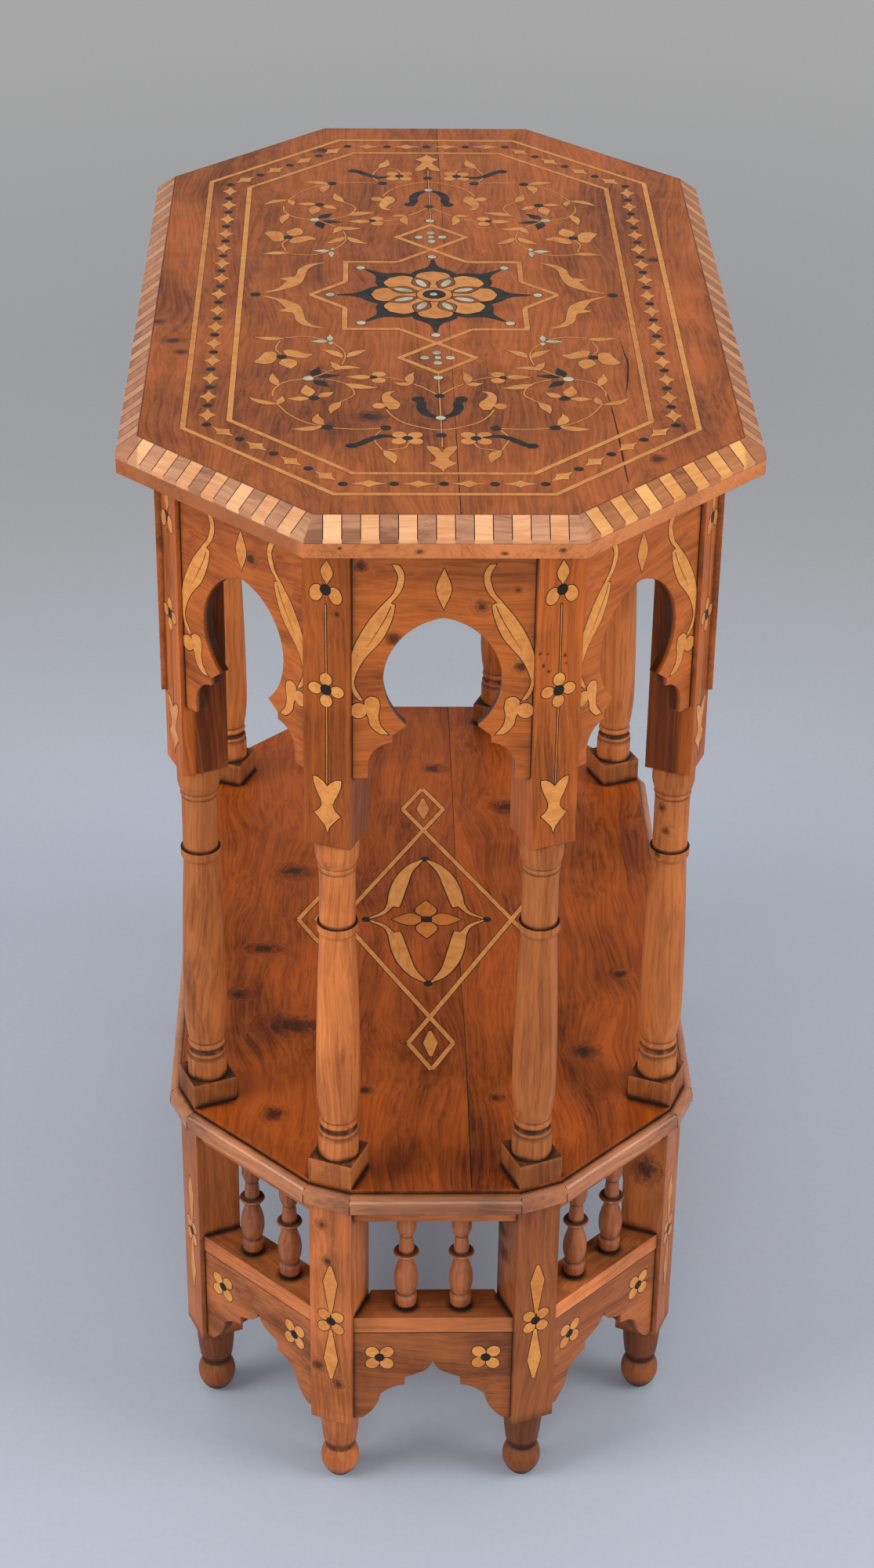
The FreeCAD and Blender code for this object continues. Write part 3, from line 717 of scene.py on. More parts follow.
def top_cracks(inlay):
    """Open seam and the shrinkage cracks of the right board."""
    end = HALF_LENGTH - SEAM_MARGIN
    inlay.seam(ribbon((TOP_SEAM, -end, 0.5), (TOP_SEAM + 0.3, -80, 0.25),
                      (TOP_SEAM, 90, 0.2), (TOP_SEAM, end, 0.4)))
    for crack in RIGHT_CRACKS:
        inlay.seam(ribbon(*crack))


# Inlay of the shelf

SHELF_CROSS = (58.5, 117.0)  # where the lines of the large diamond cross, sideways and endways
SHELF_SMALL = (14.6, 29.2)  # half sizes of the small diamonds
SHELF_BLADE = (((12, 69), (20.4, 53.5), (24.8, 36.5), (26.6, 20)), ((30, 10), (39.4, 1.8)), ((38.6, 0.8),),
               ((29, 6.5), (22.6, 16.4)), ((18.6, 15),),
               ((16.8, 22), (12.2, 45), (8.6, 61), (1.4, 75.6)), ((2, 77),))
SHELF_PETAL = ((4, -3), (9, -7), (15, -6.4), (24, 0))
SHELF_DOTS = (41.5, 78.0)  # sideways and endways
SHELF_DOT = 3.2
SHELF_EYE = 3.4
END_BLADE = (16.0, 44.0, 4.8)  # from the crossing to its ends, half width
SIDE_LOZENGE = (4.4, 10.0)  # half sizes


def shelf_inlay(inlay):
    """Crossed diamonds of string round four curling blades, with a four-petalled flower in the middle."""
    cross_u, cross_v = SHELF_CROSS
    small_u, small_v = SHELF_SMALL
    runs = (((cross_u + small_u, -small_v), (0, cross_v)),
            ((0, cross_v), (-small_u, cross_v + small_v)),
            ((small_u, cross_v + small_v), (0, cross_v + 2 * small_v)),
            ((cross_u + small_u, small_v), (cross_u + 2 * small_u, 0)))
    for su, sv in QUARTERS:
        for start, end in runs:
            inlay.add("light", flipped(strip(start, end, STRAP_WIDTH), su, sv))
        inlay.add("light", flipped(strokes(*SHELF_BLADE), su, sv), WIDE_MASTIC)
    for side in BOTH:
        inlay.add("dark", oval((0, side * SHELF_DOTS[1]), SHELF_DOT), 0)
        inlay.add("dark", oval((side * SHELF_DOTS[0], 0), SHELF_DOT), 0)
        near, far, half = END_BLADE
        low, high = sorted((side * (cross_v + near), side * (cross_v + far)))
        inlay.add("light", kite(low, high, side * (cross_v + small_v), half))
        middle = side * (cross_u + small_u)
        half_u, half_v = SIDE_LOZENGE
        inlay.add("light", [(middle, -half_v), (middle + half_u, 0), (middle, half_v), (middle - half_u, 0)])
    for i in range(4):
        inlay.add("tan", placed(two_sided(SHELF_PETAL), turn=i * math.pi / 2), WIDE_MASTIC)
    inlay.add("dark", oval((0, 0), SHELF_EYE), 0, 1)


def shelf_cracks(inlay):
    """Open seam between the boards."""
    end = SHELF_END - 1
    inlay.seam(ribbon((SHELF_SEAM, -end, 0.8), (SHELF_SEAM + 0.5, -150, 0.5), (SHELF_SEAM - 0.3, -60, 0.3),
                      (SHELF_SEAM, 120, 0.3), (SHELF_SEAM, end, 0.5)))


# Inlay of the arch panels, head blocks, posts and aprons

SCROLL_TIP = (((24.2, 132.8), (21.6, 127.7), (21.8, 121.7), (24.2, 115.7), (28.8, 110.1)), ((32.2, 110.1),),
              ((27.6, 115.7), (25.4, 121.7), (24.9, 126.8), (27.9, 133.6)))
SCROLL_BLADE = (((27.1, 102.9), (29.6, 95.3), (33.9, 86.7), (42.9, 75.6), (47.7, 65.4), (48, 58.6),
                 (43.6, 49.7)), ((45.8, 50.1),),
                ((49.1, 55.2), (50.8, 68.8), (48.4, 83.3), (40.7, 98.7), (32.2, 110.1)),
                ((28.8, 110.1), (26.2, 108.9)))
SCROLL_VEIN = ((28.5, 108, 0.5), (31.6, 100.6, 0.4), (36, 92.4, 0.35), (41.5, 83, 0.1))
SCROLL_BALL = ((46, 43.6), 4.6, 4.8)
SCROLL_CURL = (((39.9, 52.1), (35.6, 50.9), (34.4, 45.8), (35.1, 39.8), (33.9, 33.9), (29.6, 28.2)),
               ((34.7, 28.8), (39.5, 33.9), (40.7, 39), (42.3, 43.3), (42.9, 49.7)))
PANEL_VESICA = (118.5, 12.4, 4.2)  # height on the panel, half length, half width
SIDE_FLOWERS = (0.36, 0.62)  # places on a long panel or apron, as shares of its half width
# Flowers: reach and radius of the petals, radius of the dot, turn
PANEL_FLOWER = (5.0, 3.4, 2.6, EIGHTH)
BLOCK_FLOWER = (6.6, 3.6, 3.4)
POST_FLOWER = (6.5, 3.9, 3.2, EIGHTH)
APRON_FLOWER = (6.4, 4.1, 3.2, EIGHTH)
LONG_FLOWER_RISE = 132.0
POST_FLOWER_HEIGHT = 135.6
APRON_FLOWER_HEIGHT = 108.0
APRON_FLOWER_MARGIN = 16.4
BLOCK_HIGH = 32.0  # middle of the upper flower of a head block, under the top
BLOCK_LOW = 94.0
BLOCK_BUD = ((0.6, 10.4), 7.4, 3.6)  # place on that flower, half length, half width
BLOCK_PETAL = ((5.6, -3.0), 3.8, 5.2, 0.3)
BLOCK_DOT = 3.4
BLOCK_TULIP = (150.4, 186.4, 17.2)  # ears and point, under the top, and width
BLOCK_LINE = 0.5
POST_BLADES = ((141, 179.6, 167, 4.8), (89, 129, 105, 4.8))  # ends, widest place, half width


def panel_scroll(inlay, side, middle):
    """Leaf beside the arch, curling from under the top down to a trefoil."""
    def put(kind, outline, *lying):
        inlay.add(kind, [(middle + side * u, PANEL_BOTTOM + v) for u, v in outline], *lying)
    put("light", strokes(*SCROLL_TIP))
    put("light", strokes(*SCROLL_BLADE))
    put("mastic", ribbon(*SCROLL_VEIN), 0, 1)
    put("light", oval(*SCROLL_BALL))
    put("light", strokes(*SCROLL_CURL))


def panel_inlay(inlay, k):
    """Scrolls beside the arch of bay k, and a pointed oval or, on a long side, three flowers above it."""
    rise, half_length, half_width = PANEL_VESICA
    out = SIDE_PANEL_FACE if k in LONG_BAYS else PANEL_FACE
    inlay.face = bay_face(k, out)
    shift = clear_half(k, out) - clear_half(0, PANEL_FACE)
    for side in BOTH:
        panel_scroll(inlay, side, side * shift)
    if k in LONG_BAYS:
        for share in (-SIDE_FLOWERS[0], 0, SIDE_FLOWERS[0]):
            flower(inlay, (share * shift, PANEL_BOTTOM + LONG_FLOWER_RISE), *PANEL_FLOWER)
    else:
        inlay.add("light", leaf_oval((0, PANEL_BOTTOM + rise), half_length, half_width, math.pi / 2))


def block_inlay(inlay, k):
    """Flower, line, flower, line and tulip down the outer face of a head block."""
    inlay.face = post_face(k)
    high = UNDER_TOP - BLOCK_HIGH
    low = UNDER_TOP - BLOCK_LOW
    (u, v), half_length, half_width = BLOCK_BUD
    inlay.add("light", leaf_oval((u, high + v), half_length, half_width, math.pi / 2))
    (u, v), half_u, half_v, turn = BLOCK_PETAL
    for side in BOTH:
        inlay.add("light", oval((side * u, high + v), half_u, half_v, side * turn))
    inlay.add("dark", oval((0, high), BLOCK_DOT), 0)
    inlay.add("light", strip((0, high - 9), (0.2, low + 10), BLOCK_LINE), BLOCK_LINE)
    flower(inlay, (0, low), *BLOCK_FLOWER)
    inlay.add("light", strip((0.2, low - 10.6), (0, low - 60), BLOCK_LINE), BLOCK_LINE)
    ears, point, width = BLOCK_TULIP
    inlay.add("light", tulip(UNDER_TOP - ears, UNDER_TOP - point, width))


def post_inlay(inlay, k):
    """Blade, flower and blade down the outer face of a lower post."""
    inlay.face = post_face(k)
    for blade in POST_BLADES:
        inlay.add("light", kite(*blade))
    flower(inlay, (0, POST_FLOWER_HEIGHT), *POST_FLOWER)


def apron_inlay(inlay, k):
    """A flower near each end of an apron, and more along a long one."""
    inlay.face = bay_face(k, APRON_FACE)
    half = clear_half(k, APRON_FACE)
    places = [half - APRON_FLOWER_MARGIN]
    if k in LONG_BAYS:
        places += [half * share for share in SIDE_FLOWERS]
    for u in places:
        for side in BOTH:
            flower(inlay, (side * u, APRON_FLOWER_HEIGHT), *APRON_FLOWER)


# Open joints between pieces, and a painted shadow line under each rail

STRIPE_PITCH = 10.0
BEVEL_WIDTH = 11.9
BEVEL_DROP = 9.0
JOINT_WIDTH = 0.5
JOINT_MARGIN = 0.1  # a stripe's joint stops that far from its ends
PANEL_JOINT = 0.5
APRON_JOINT = 0.4
GAP_MARGIN = 0.2
MOULDING_ROUND = 5.4
MOULDING_UNDERCUT = 1.6
MITRE_PROUD = 0.08
MITRE_RISE = 0.1


def stripe_width(k):
    """Width of a stripe on side k of the top, where their number is odd."""
    length = math.dist(octagon(0)[(k + 1) % SIDES], octagon(0)[k])
    return length / (2 * round((length / STRIPE_PITCH - 1) / 2) + 1)


def stripe_joints(inlay):
    """Dark lines between the stripes of the bevelled edge, and one round their inner ends."""
    corners = [Vector((*p, TOP_HEIGHT - BEVEL_DROP)) for p in octagon(0)]
    slope = math.hypot(BEVEL_WIDTH, BEVEL_DROP)
    for k in range(SIDES):
        end = corners[(k + 1) % SIDES]
        rise = Vector((0, 0, BEVEL_DROP)) - outward(k) * BEVEL_WIDTH
        inlay.face = Face((corners[k] + end) / 2, sideways(k), rise)
        half = (end - corners[k]).length / 2
        width = stripe_width(k)
        for i in range(1, round(2 * half / width)):
            u = i * width - half
            if abs(u) < half - BEVEL_WIDTH * math.tan(SIXTEENTH):
                inlay.seam(strip((u, JOINT_MARGIN), (u, slope - JOINT_MARGIN), JOINT_WIDTH))
    inlay.face = level_face(TOP_HEIGHT)
    inner = octagon(BEVEL_WIDTH + JOINT_WIDTH)
    for k in range(SIDES):
        inlay.seam(strip(inner[k], inner[(k + 1) % SIDES], JOINT_WIDTH / 2))


def moulding_joints(inlay):
    """Dark mitre lines across the edge moulding, at the two outer corners of every post."""
    low, high = node_box("shelf_moulding_bays")
    width = (-low.y - SHELF_END) / math.cos(SIXTEENTH / 2)
    shoulder = MOULDING_ROUND * (1 - DIAGONAL)
    outline = strokes([(width - MOULDING_UNDERCUT, low.z)], [(width, low.z + MOULDING_UNDERCUT)],
                      [(width, high.z - MOULDING_ROUND)],
                      [(width - shoulder, high.z - shoulder), (width - MOULDING_ROUND, high.z)],
                      [(-JOINT_MARGIN, high.z)], [(-JOINT_MARGIN, low.z)])
    outline = grown(tidy_outline(outline), MITRE_PROUD)
    for k in range(SIDES):
        for side in BOTH:
            corner = column_axis(k) + (outward(k - 0.5) + sideways(k - 0.5) * side) * POST_SIZE / 2
            inlay.face = Face(corner, outward(k - 0.5 + side * 0.25), UP)
            inlay.plate("mastic", outline, MITRE_RISE)


def side_gaps(inlay, k, face, low, high, width):
    """Dark gaps between a panel of bay k and the posts beside it."""
    inlay.face = bay_face(k, face)
    u = clear_half(k, face) - width / 2
    for side in BOTH:
        inlay.seam(strip((side * u, low + GAP_MARGIN), (side * u, high - GAP_MARGIN), width))


def panel_joints(inlay):
    """Gaps beside the arch panels of the ends and diagonals, and beside all aprons."""
    for k in range(SIDES):
        if k not in LONG_BAYS:
            side_gaps(inlay, k, PANEL_FACE, PANEL_BOTTOM, UNDER_TOP, PANEL_JOINT)
    for k in range(SIDES):
        side_gaps(inlay, k, APRON_FACE, APRON_LOW.z, APRON_HIGH.z, APRON_JOINT)


def rail_joint_shadows(inlay):
    """Dark line between each lower rail and its apron: the joint, and the painted shadow of the rail's proud
    edge.
    """
    proud = RAIL_LOW.y - APRON_LOW.y
    for k in range(SIDES):
        half = clear_half(k, APRON_FACE)
        inlay.face = bay_face(k, APRON_FACE)
        inlay.seam(strip((-half, RAIL_LOW.z), (half, RAIL_LOW.z), JOINT_WIDTH), SEAM_RISE - proud)


# Materials


def linear(colour):
    """Shader colour of an sRGB colour."""
    parts = [c / 255 for c in colour]
    return tuple(c / 12.92 if c <= 0.04045 else ((c + 0.055) / 1.055) ** 2.4 for c in parts) + (1.0,)


class Look:
    """A material and short ways to add its nodes."""

    def __init__(self, name):
        self.material = bpy.data.materials.new(name)
        self.material.use_nodes = True
        self.tree = self.material.node_tree
        self.tree.nodes.clear()

    def node(self, kind, inputs=None, **settings):
        new = self.tree.nodes.new("ShaderNode" + kind)
        for key, value in settings.items():
            setattr(new, key, value)
        for key, value in (inputs or {}).items():
            if isinstance(value, bpy.types.NodeSocket):
                self.tree.links.new(value, new.inputs[key])
            else:
                new.inputs[key].default_value = value
        return new

    def math(self, operation, a, b=0.5, clamp=False):
        return self.node("Math", {0: a, 1: b}, operation=operation, use_clamp=clamp).outputs[0]

    def times(self, a, b):
        return self.math("MULTIPLY", a, b)

    def plus(self, a, b):
        return self.math("ADD", a, b)

    def minus(self, a, b):
        return self.math("SUBTRACT", a, b)

    def most(self, a, b):
        return self.math("MAXIMUM", a, b)

    def size(self, a):
        return self.math("ABSOLUTE", a)

    def vector(self, operation, a, b=(0, 0, 0)):
        return self.node("VectorMath", {0: a, 1: b}, operation=operation).outputs[0]

    def number(self, operation, a, b=(0, 0, 0)):
        """Length of a vector, or the dot product of two."""
        return self.node("VectorMath", {0: a, 1: b}, operation=operation).outputs["Value"]

    def stretched(self, place, share):
        """A place in the wood, where what is drawn is longer along the grain."""
        return self.vector("MULTIPLY", place, (share, 1, 1))

    def parts(self, vector):
        new = self.node("SeparateXYZ", {"Vector": vector})
        return [new.outputs[axis] for axis in "XYZ"]

    def whole(self, x=0.0, y=0.0, z=0.0):
        return self.node("CombineXYZ", {"X": x, "Y": y, "Z": z}).outputs["Vector"]

    def range(self, value, low, high, to_low=0.0, to_high=1.0):
        """The value eased from one range to another."""
        new = self.node("MapRange", {"Value": value, "From Min": low, "From Max": high,
                                     "To Min": to_low, "To Max": to_high}, interpolation_type="SMOOTHSTEP")
        return new.outputs["Result"]

    def noise(self, where, scale, detail=3.0, rough=0.55):
        new = self.node("TexNoise", {"Vector": where, "Scale": scale, "Detail": detail, "Roughness": rough})
        return new.outputs["Fac"]

    def pick(self, share, a, b):
        return self.node("Mix", {0: share, 2: a, 3: b}, data_type="FLOAT").outputs[0]

    def mix(self, share, a, b, blend="MIX"):
        new = self.node("Mix", {0: share, 6: a, 7: b}, data_type="RGBA", blend_type=blend, clamp_factor=True)
        return new.outputs[2]

    def gloss(self, value, rough):
        """Roughness that wanders about a middle value."""
        return self.range(value, 0.3, 0.7, rough - 0.06, rough + 0.1)

    def bump(self, height, strength, depth, **inputs):
        inputs.update({"Height": height, "Strength": strength, "Distance": depth * MM})
        return self.node("Bump", inputs).outputs["Normal"]

    def surface(self, colour, rough, shine, **inputs):
        inputs.update({"Base Color": colour, "Roughness": rough, "Specular IOR Level": shine})
        shader = self.node("BsdfPrincipled", inputs)
        self.node("OutputMaterial", {"Surface": shader.outputs["BSDF"]})
        return self.material


EDGE_RADIUS = 0.8
CREVICE_REACH = 6.0
CORNER_REACH = 15.0
DIRT_AND_SHADE_STRENGTH = 0.96
GRAIN_SHIFTS = (3.1, 0.21, 0.13)  # metres in the wood from one solid to the next, at most
KNOT_PUSH = 0.012  # metres that the grain gives way at a knot
ALONG_Y = "front to back"
ALONG_Z = "upright"
ROUND = "round the table"


class Wood(Look):
    """A wood: places on the table and in the grain, how dark it is there, and its colour."""

    def __init__(self, name, shades, grain, figure, knots, knot_scale, wave, stripes):
        super().__init__(name)
        self.info = self.node("ObjectInfo").outputs
        self.where = self.node("TexCoord").outputs["Object"]
        self.x, self.y, self.z = self.parts(self.where)
        self.upright = self.parts(self.node("NewGeometry").outputs["True Normal"])[2]
        self.along, self.out = ring_place(self)
        self.place = grain_place(self, grain)
        self.near = knot_field(self, knots)
        if knot_scale:
            self.near = self.most(stray_knots(self, knot_scale), self.near)
        self.tone, self.lines = wood_tone(self, figure, wave)
        if stripes:
            self.tone = striped(self, stripes)
        self.blotch = self.noise(self.where, 70.0, 5.0, 0.65)
        self.colour = self.shaded(shades)

    def shaded(self, shades):
        """Colour of the wood between its light and its dark."""
        return self.mix(self.tone, *(linear(shade) for shade in shades))

    def cover(self, share, colour):
        self.colour = self.mix(share, self.colour, colour)

    def darken(self, value):
        grey = self.node("CombineColor", {0: value, 1: value, 2: value}).outputs["Color"]
        self.colour = self.mix(1.0, self.colour, grey, "MULTIPLY")


def ring_place(look):
    """Metres along the nearest side of the ring of column axes, and out from it."""
    x, y, _ = look.parts(look.vector("ABSOLUTE", look.where))
    side_x, side_y = RING[2]
    end_x, end_y = RING[4]
    side = look.minus(x, side_x * MM)
    end = look.minus(y, end_y * MM)
    slant = look.minus(look.times(look.plus(x, y), DIAGONAL), (end_x + end_y) * DIAGONAL * MM)
    level = look.most(side, end)
    diagonal = look.times(look.minus(y, x), DIAGONAL)
    diagonal = look.minus(diagonal, (side_y + end_y - side_x - end_x) / 2 * DIAGONAL * MM)
    along = look.pick(look.math("GREATER_THAN", end, side), look.y, look.x)
    along = look.pick(look.math("GREATER_THAN", slant, level), along, diagonal)
    return along, look.most(level, slant)


def grain_place(look, grain):
    """Place in the wood with x along the grain, another stretch of it for each solid."""
    axes = {ALONG_Y: (look.y, look.x, look.z), ALONG_Z: (look.z, look.x, look.y),
            ROUND: (look.along, look.out, look.z)}[grain]
    moved = []
    for axis, shift in zip(axes, GRAIN_SHIFTS):
        new = look.node("Math", {0: look.info["Random"], 1: shift, 2: axis}, operation="MULTIPLY_ADD")
        moved.append(new.outputs[0])
    return look.whole(*moved)


def knot_field(look, knots):
    """Nearness to ragged knots at given places: 1 in a knot, 0 well away from all."""
    ragged = look.times(look.minus(look.noise(look.where, 150.0, 4.0, 0.7), 0.5), 3.0)
    near = 0.0
    for x, y, z, radius, length in knots:
        offset = look.vector("SUBTRACT", look.where, (x * MM, y * MM, z * MM))
        grow = 1 / (radius * MM)
        away = look.number("LENGTH", look.vector("MULTIPLY", offset, (grow / length, grow, grow)))
        near = look.most(look.range(look.plus(away, ragged), 0.0, 4.2, 1.0, 0.0), near)
    return near


def stray_knots(look, scale):
    """Nearness to small knots scattered along the grain."""
    ragged = look.times(look.minus(look.noise(look.place, 160.0, 3.0), 0.5), 0.07)
    cells = look.node("TexVoronoi", {"Vector": look.stretched(look.place, 0.6), "Scale": scale})
    picked = look.node("SeparateColor", {"Color": cells.outputs["Color"]}).outputs[0]
    near = look.range(look.plus(cells.outputs["Distance"], ragged), 0.0, 0.09, 1.0, 0.0)
    return look.times(near, look.math("GREATER_THAN", picked, 0.6))


def bent_grain(look, wave):
    """Place in the wood with its grain bent in slow waves and round the knots."""
    drift = look.node("TexNoise", {"Vector": look.stretched(look.place, 0.45), "Scale": 11.0, "Detail": 2.0})
    shift = look.vector("SUBTRACT", drift.outputs["Color"], (0.5, 0.5, 0.5))
    shift = look.vector("MULTIPLY", shift, (0, wave * MM, wave * MM))
    push = look.times(look.near, KNOT_PUSH)
    return look.vector("ADD", look.vector("ADD", look.place, shift), look.whole(y=push, z=push))


def wood_tone(look, figure, wave):
    """How dark the wood is: its curl, bands, fine lines, clouds and flecks. Gives the fine lines too."""
    grain = bent_grain(look, wave)
    curl = look.noise(look.vector("MULTIPLY", grain, (1, 0.22, 0.22)), 85.0, 3.0)
    curly = look.range(look.noise(look.place, 9.0, 2.0), 0.48, 0.66)
    bands = look.noise(look.stretched(grain, 0.05), 60.0, 3.0, 0.5)
    lines = look.noise(look.stretched(grain, 0.014), 420.0, 4.0, 0.62)
    clouds = look.noise(look.stretched(look.place, 0.5), 16.0, 5.0, 0.6)
    flecks = look.noise(look.stretched(grain, 0.05), 1000.0, 2.0, 0.6)
    tone = look.times(look.range(curl, 0.38, 0.66, 0.0, 0.5 * figure), curly)
    tone = look.plus(tone, look.range(bands, 0.38, 0.66, 0.0, figure))
    tone = look.plus(tone, look.range(lines, 0.38, 0.64, 0.0, 0.34))
    tone = look.plus(tone, look.range(clouds, 0.38, 0.68, 0.0, 0.48))
    tone = look.plus(tone, look.range(flecks, 0.46, 0.66, 0.0, 0.2))
    return look.math("SUBTRACT", tone, 0.09, clamp=True), lines


def striped(look, spread):
    """The wood's tone, with a random change for each stripe of the bevelled edge."""
    cell = look.math("ROUND", look.math("DIVIDE", look.along, stripe_width(0) * MM))
    chance = look.node("TexWhiteNoise", {"Vector": look.whole(cell, look.info["Random"])}).outputs["Value"]
    return look.math("ADD", look.tone, look.times(look.minus(chance, 0.4), spread), clamp=True)


def stain_and_shade_behind_face(look, face, share):
    """Share of dark stain and painted shade on what lies behind a face of the ring."""
    return look.range(look.out, face * MM, (face - 3) * MM, 0.0, share)


# Coats: what only one kind of piece has, laid over its plain wood

FOOT_TOP = 62.0
FOOT_BALL_TOP = 26.0


def stripe_coat(look, right_shades):
    """Other shades on the right of the table, and stripes worn to one shade on its long sides."""
    start = SHORT_SIDE / 2
    look.cover(look.range(look.x, start * MM, (start + 3) * MM, 0.0, 0.8), look.shaded(right_shades))
    edge = HALF_WIDTH - BEVEL_WIDTH
    look.cover(look.range(look.size(look.x), (edge - 2) * MM, edge * MM, 0.0, 0.5), linear(SIDE_STRIPE))


def fascia_coat(look):
    """Paler upright edge of the top, duller on the left."""
    rim = look.range(look.size(look.upright), 0.5, 0.3)
    rim = look.times(rim, look.range(look.tone, 1.0, 0.0, 0.45, 1.0))
    left = look.range(look.x, -SHORT_SIDE / 2 * MM, -(SHORT_SIDE / 2 + 6) * MM)
    look.cover(rim, look.mix(left, linear(FASCIA_WOOD_AND_EDGE_HIGHLIGHT), linear(LEFT_FASCIA_WOOD)))


def column_coat(look):
    """Head block with its own tone, its inner faces dark with stain and painted shade away from the front,
    and a paler shaft.
    """
    look.darken(look.info["Alpha"])
    inner_stain_and_shade = stain_and_shade_behind_face(look, POST_SIZE * 0.46, 0.85)
    inner_stain_and_shade = look.times(inner_stain_and_shade, look.range(look.y, (POST_Y + 40) * MM, (POST_Y + 70) * MM, 0.3, 1.0))
    look.cover(look.times(inner_stain_and_shade, look.range(look.lines, 0.34, 0.6, 0.8, 1.0)), linear(HIDDEN_STAIN_AND_SHADE))
    look.cover(look.range(look.z, BLOCK_BOTTOM * MM, (BLOCK_BOTTOM - 2) * MM), look.shaded(SHAFT_WOOD))


def foot_coat(look):
    """Foot with its own tone, half as much on its ball."""
    change = look.minus(look.info["Alpha"], 1.0)
    change = look.times(change, look.range(look.z, FOOT_TOP * MM, (FOOT_TOP - 10) * MM))
    change = look.times(change, look.range(look.z, (FOOT_BALL_TOP - 6) * MM, FOOT_BALL_TOP * MM, 0.5, 1.0))
    look.darken(look.plus(change, 1.0))


def moulding_shade_coat(look):
    """Painted shade and a painted dark reflection: darker across the ends of the table."""
    look.darken(look.range(look.size(look.x), POST_SIZE * MM, 3 * POST_SIZE * MM, 0.55, 1.0))


# Wear, and painted shade and highlight, that all the woods have


def stains_and_inner_shade(look, share, behind):
    """Dark stains along the grain, stain and painted shade on inner faces, and knots with a halo."""
    dark = look.noise(look.stretched(look.place, 0.6), 13.0, 6.0, 0.62)
    dark = look.times(look.range(dark, 0.54, 0.72, 0.0, share), look.range(look.lines, 0.3, 0.6, 0.4, 1.0))
    if behind:
        dark = look.most(dark, stain_and_shade_behind_face(look, *behind))
    look.cover(dark, linear(KNOT_STAIN_AND_SHADE))
    halo = look.range(look.near, 0.15, 0.8, 0.0, 0.65)
    halo = look.times(halo, look.range(look.lines, 0.3, 0.62, 0.35, 1.0))
    look.cover(look.most(halo, look.range(look.near, 0.62, 0.92, 0.0, 0.85)), linear(KNOT_STAIN_AND_SHADE))


def openness(look, reach):
    """How open the space round a place is: 1 on a plain face, less in a corner."""
    return look.node("AmbientOcclusion", {"Distance": reach * MM}, samples=6).outputs["AO"]


def corner_dirt_and_shade(look, crevice):
    """Black dirt and painted shade deep in the corners, with a ragged edge, and a thinner haze of dirt and
    painted shade round them.
    """
    ragged = look.minus(look.blotch, 0.5)
    tight = look.plus(look.times(ragged, 0.35), crevice)
    loose = look.plus(look.times(ragged, 0.9), openness(look, CORNER_REACH))
    return look.most(look.range(tight, 0.86, 0.66), look.range(loose, 0.72, 0.44, 0.0, 0.85))


def groove_dirt_and_shade(look, grooves):
    """Dirt and painted shade in the grooves of turned pieces."""
    dirt_and_shade = 0.0
    for height, half, strength in grooves:
        away = look.size(look.minus(look.z, height * MM))
        dirt_and_shade = look.most(look.range(away, 1.3 * half * MM, 0.5 * half * MM, 0.0, strength), dirt_and_shade)
    return look.times(dirt_and_shade, look.range(look.blotch, 0.34, 0.54, 0.5, 1.0))


def all_dirt_and_shade(look, crevice, grooves, dusty, dirt_and_shade_share):
    """Dirt and painted shade of corners and grooves, and dust on what faces up."""
    dust = look.range(look.upright, 0.7, 0.9, 0.0, dusty)
    dust = look.times(dust, look.range(look.blotch, 0.36, 0.58, 0.3, 1.0))
    dirt_and_shade = look.most(corner_dirt_and_shade(look, crevice), dust)
    if grooves:
        dirt_and_shade = look.most(dirt_and_shade, groove_dirt_and_shade(look, grooves))
    return look.math("MULTIPLY", dirt_and_shade, DIRT_AND_SHADE_STRENGTH * dirt_and_shade_share, clamp=True)


def rub_edges_and_highlight(look, rounded, crevice):
    """Pale wood on the outer edges, here and there: rubbed wear and a painted highlight."""
    turn = look.number("DOT_PRODUCT", rounded, look.node("NewGeometry").outputs["Normal"])
    edge = look.times(look.range(turn, 0.995, 0.88), look.range(crevice, 0.80, 0.98))
    look.cover(look.times(edge, look.range(look.blotch, 0.36, 0.60, 0.0, 0.5)), linear(FASCIA_WOOD_AND_EDGE_HIGHLIGHT))


def wood(name, shades, grain, figure, knots=(), knot_scale=0.0, wave=60.0, stripes=0.0, coat=None,
         behind=None, stains=0.5, grooves=(), dusty=0.0, dirt_and_shade_share=1.0, rough=0.4, shine=0.22):
    """Waxed old wood: figure, stains and knots, black dirt and painted shade in the corners, and rubbed
    edges with a painted highlight.
    """
    look = Wood(name, shades, grain, figure, knots, knot_scale, wave, stripes)
    if coat:
        coat(look)
    look.colour = look.mix(1.0, look.colour, look.info["Color"], "MULTIPLY")
    stains_and_inner_shade(look, stains, behind)
    crevice = openness(look, CREVICE_REACH)
    dirt_and_shade = all_dirt_and_shade(look, crevice, grooves, dusty, dirt_and_shade_share)
    # Dirt and painted shade laid over the wood
    look.cover(dirt_and_shade, linear(GRIME_AND_SHADE))
    rounded = look.node("Bevel", {"Radius": EDGE_RADIUS * MM}, samples=4).outputs["Normal"]
    rub_edges_and_highlight(look, rounded, crevice)
    gloss = look.plus(look.gloss(look.blotch, rough), look.times(dirt_and_shade, 0.25))
    return look.surface(look.colour, gloss, shine, Normal=look.bump(look.lines, 0.25, 0.4, Normal=rounded))


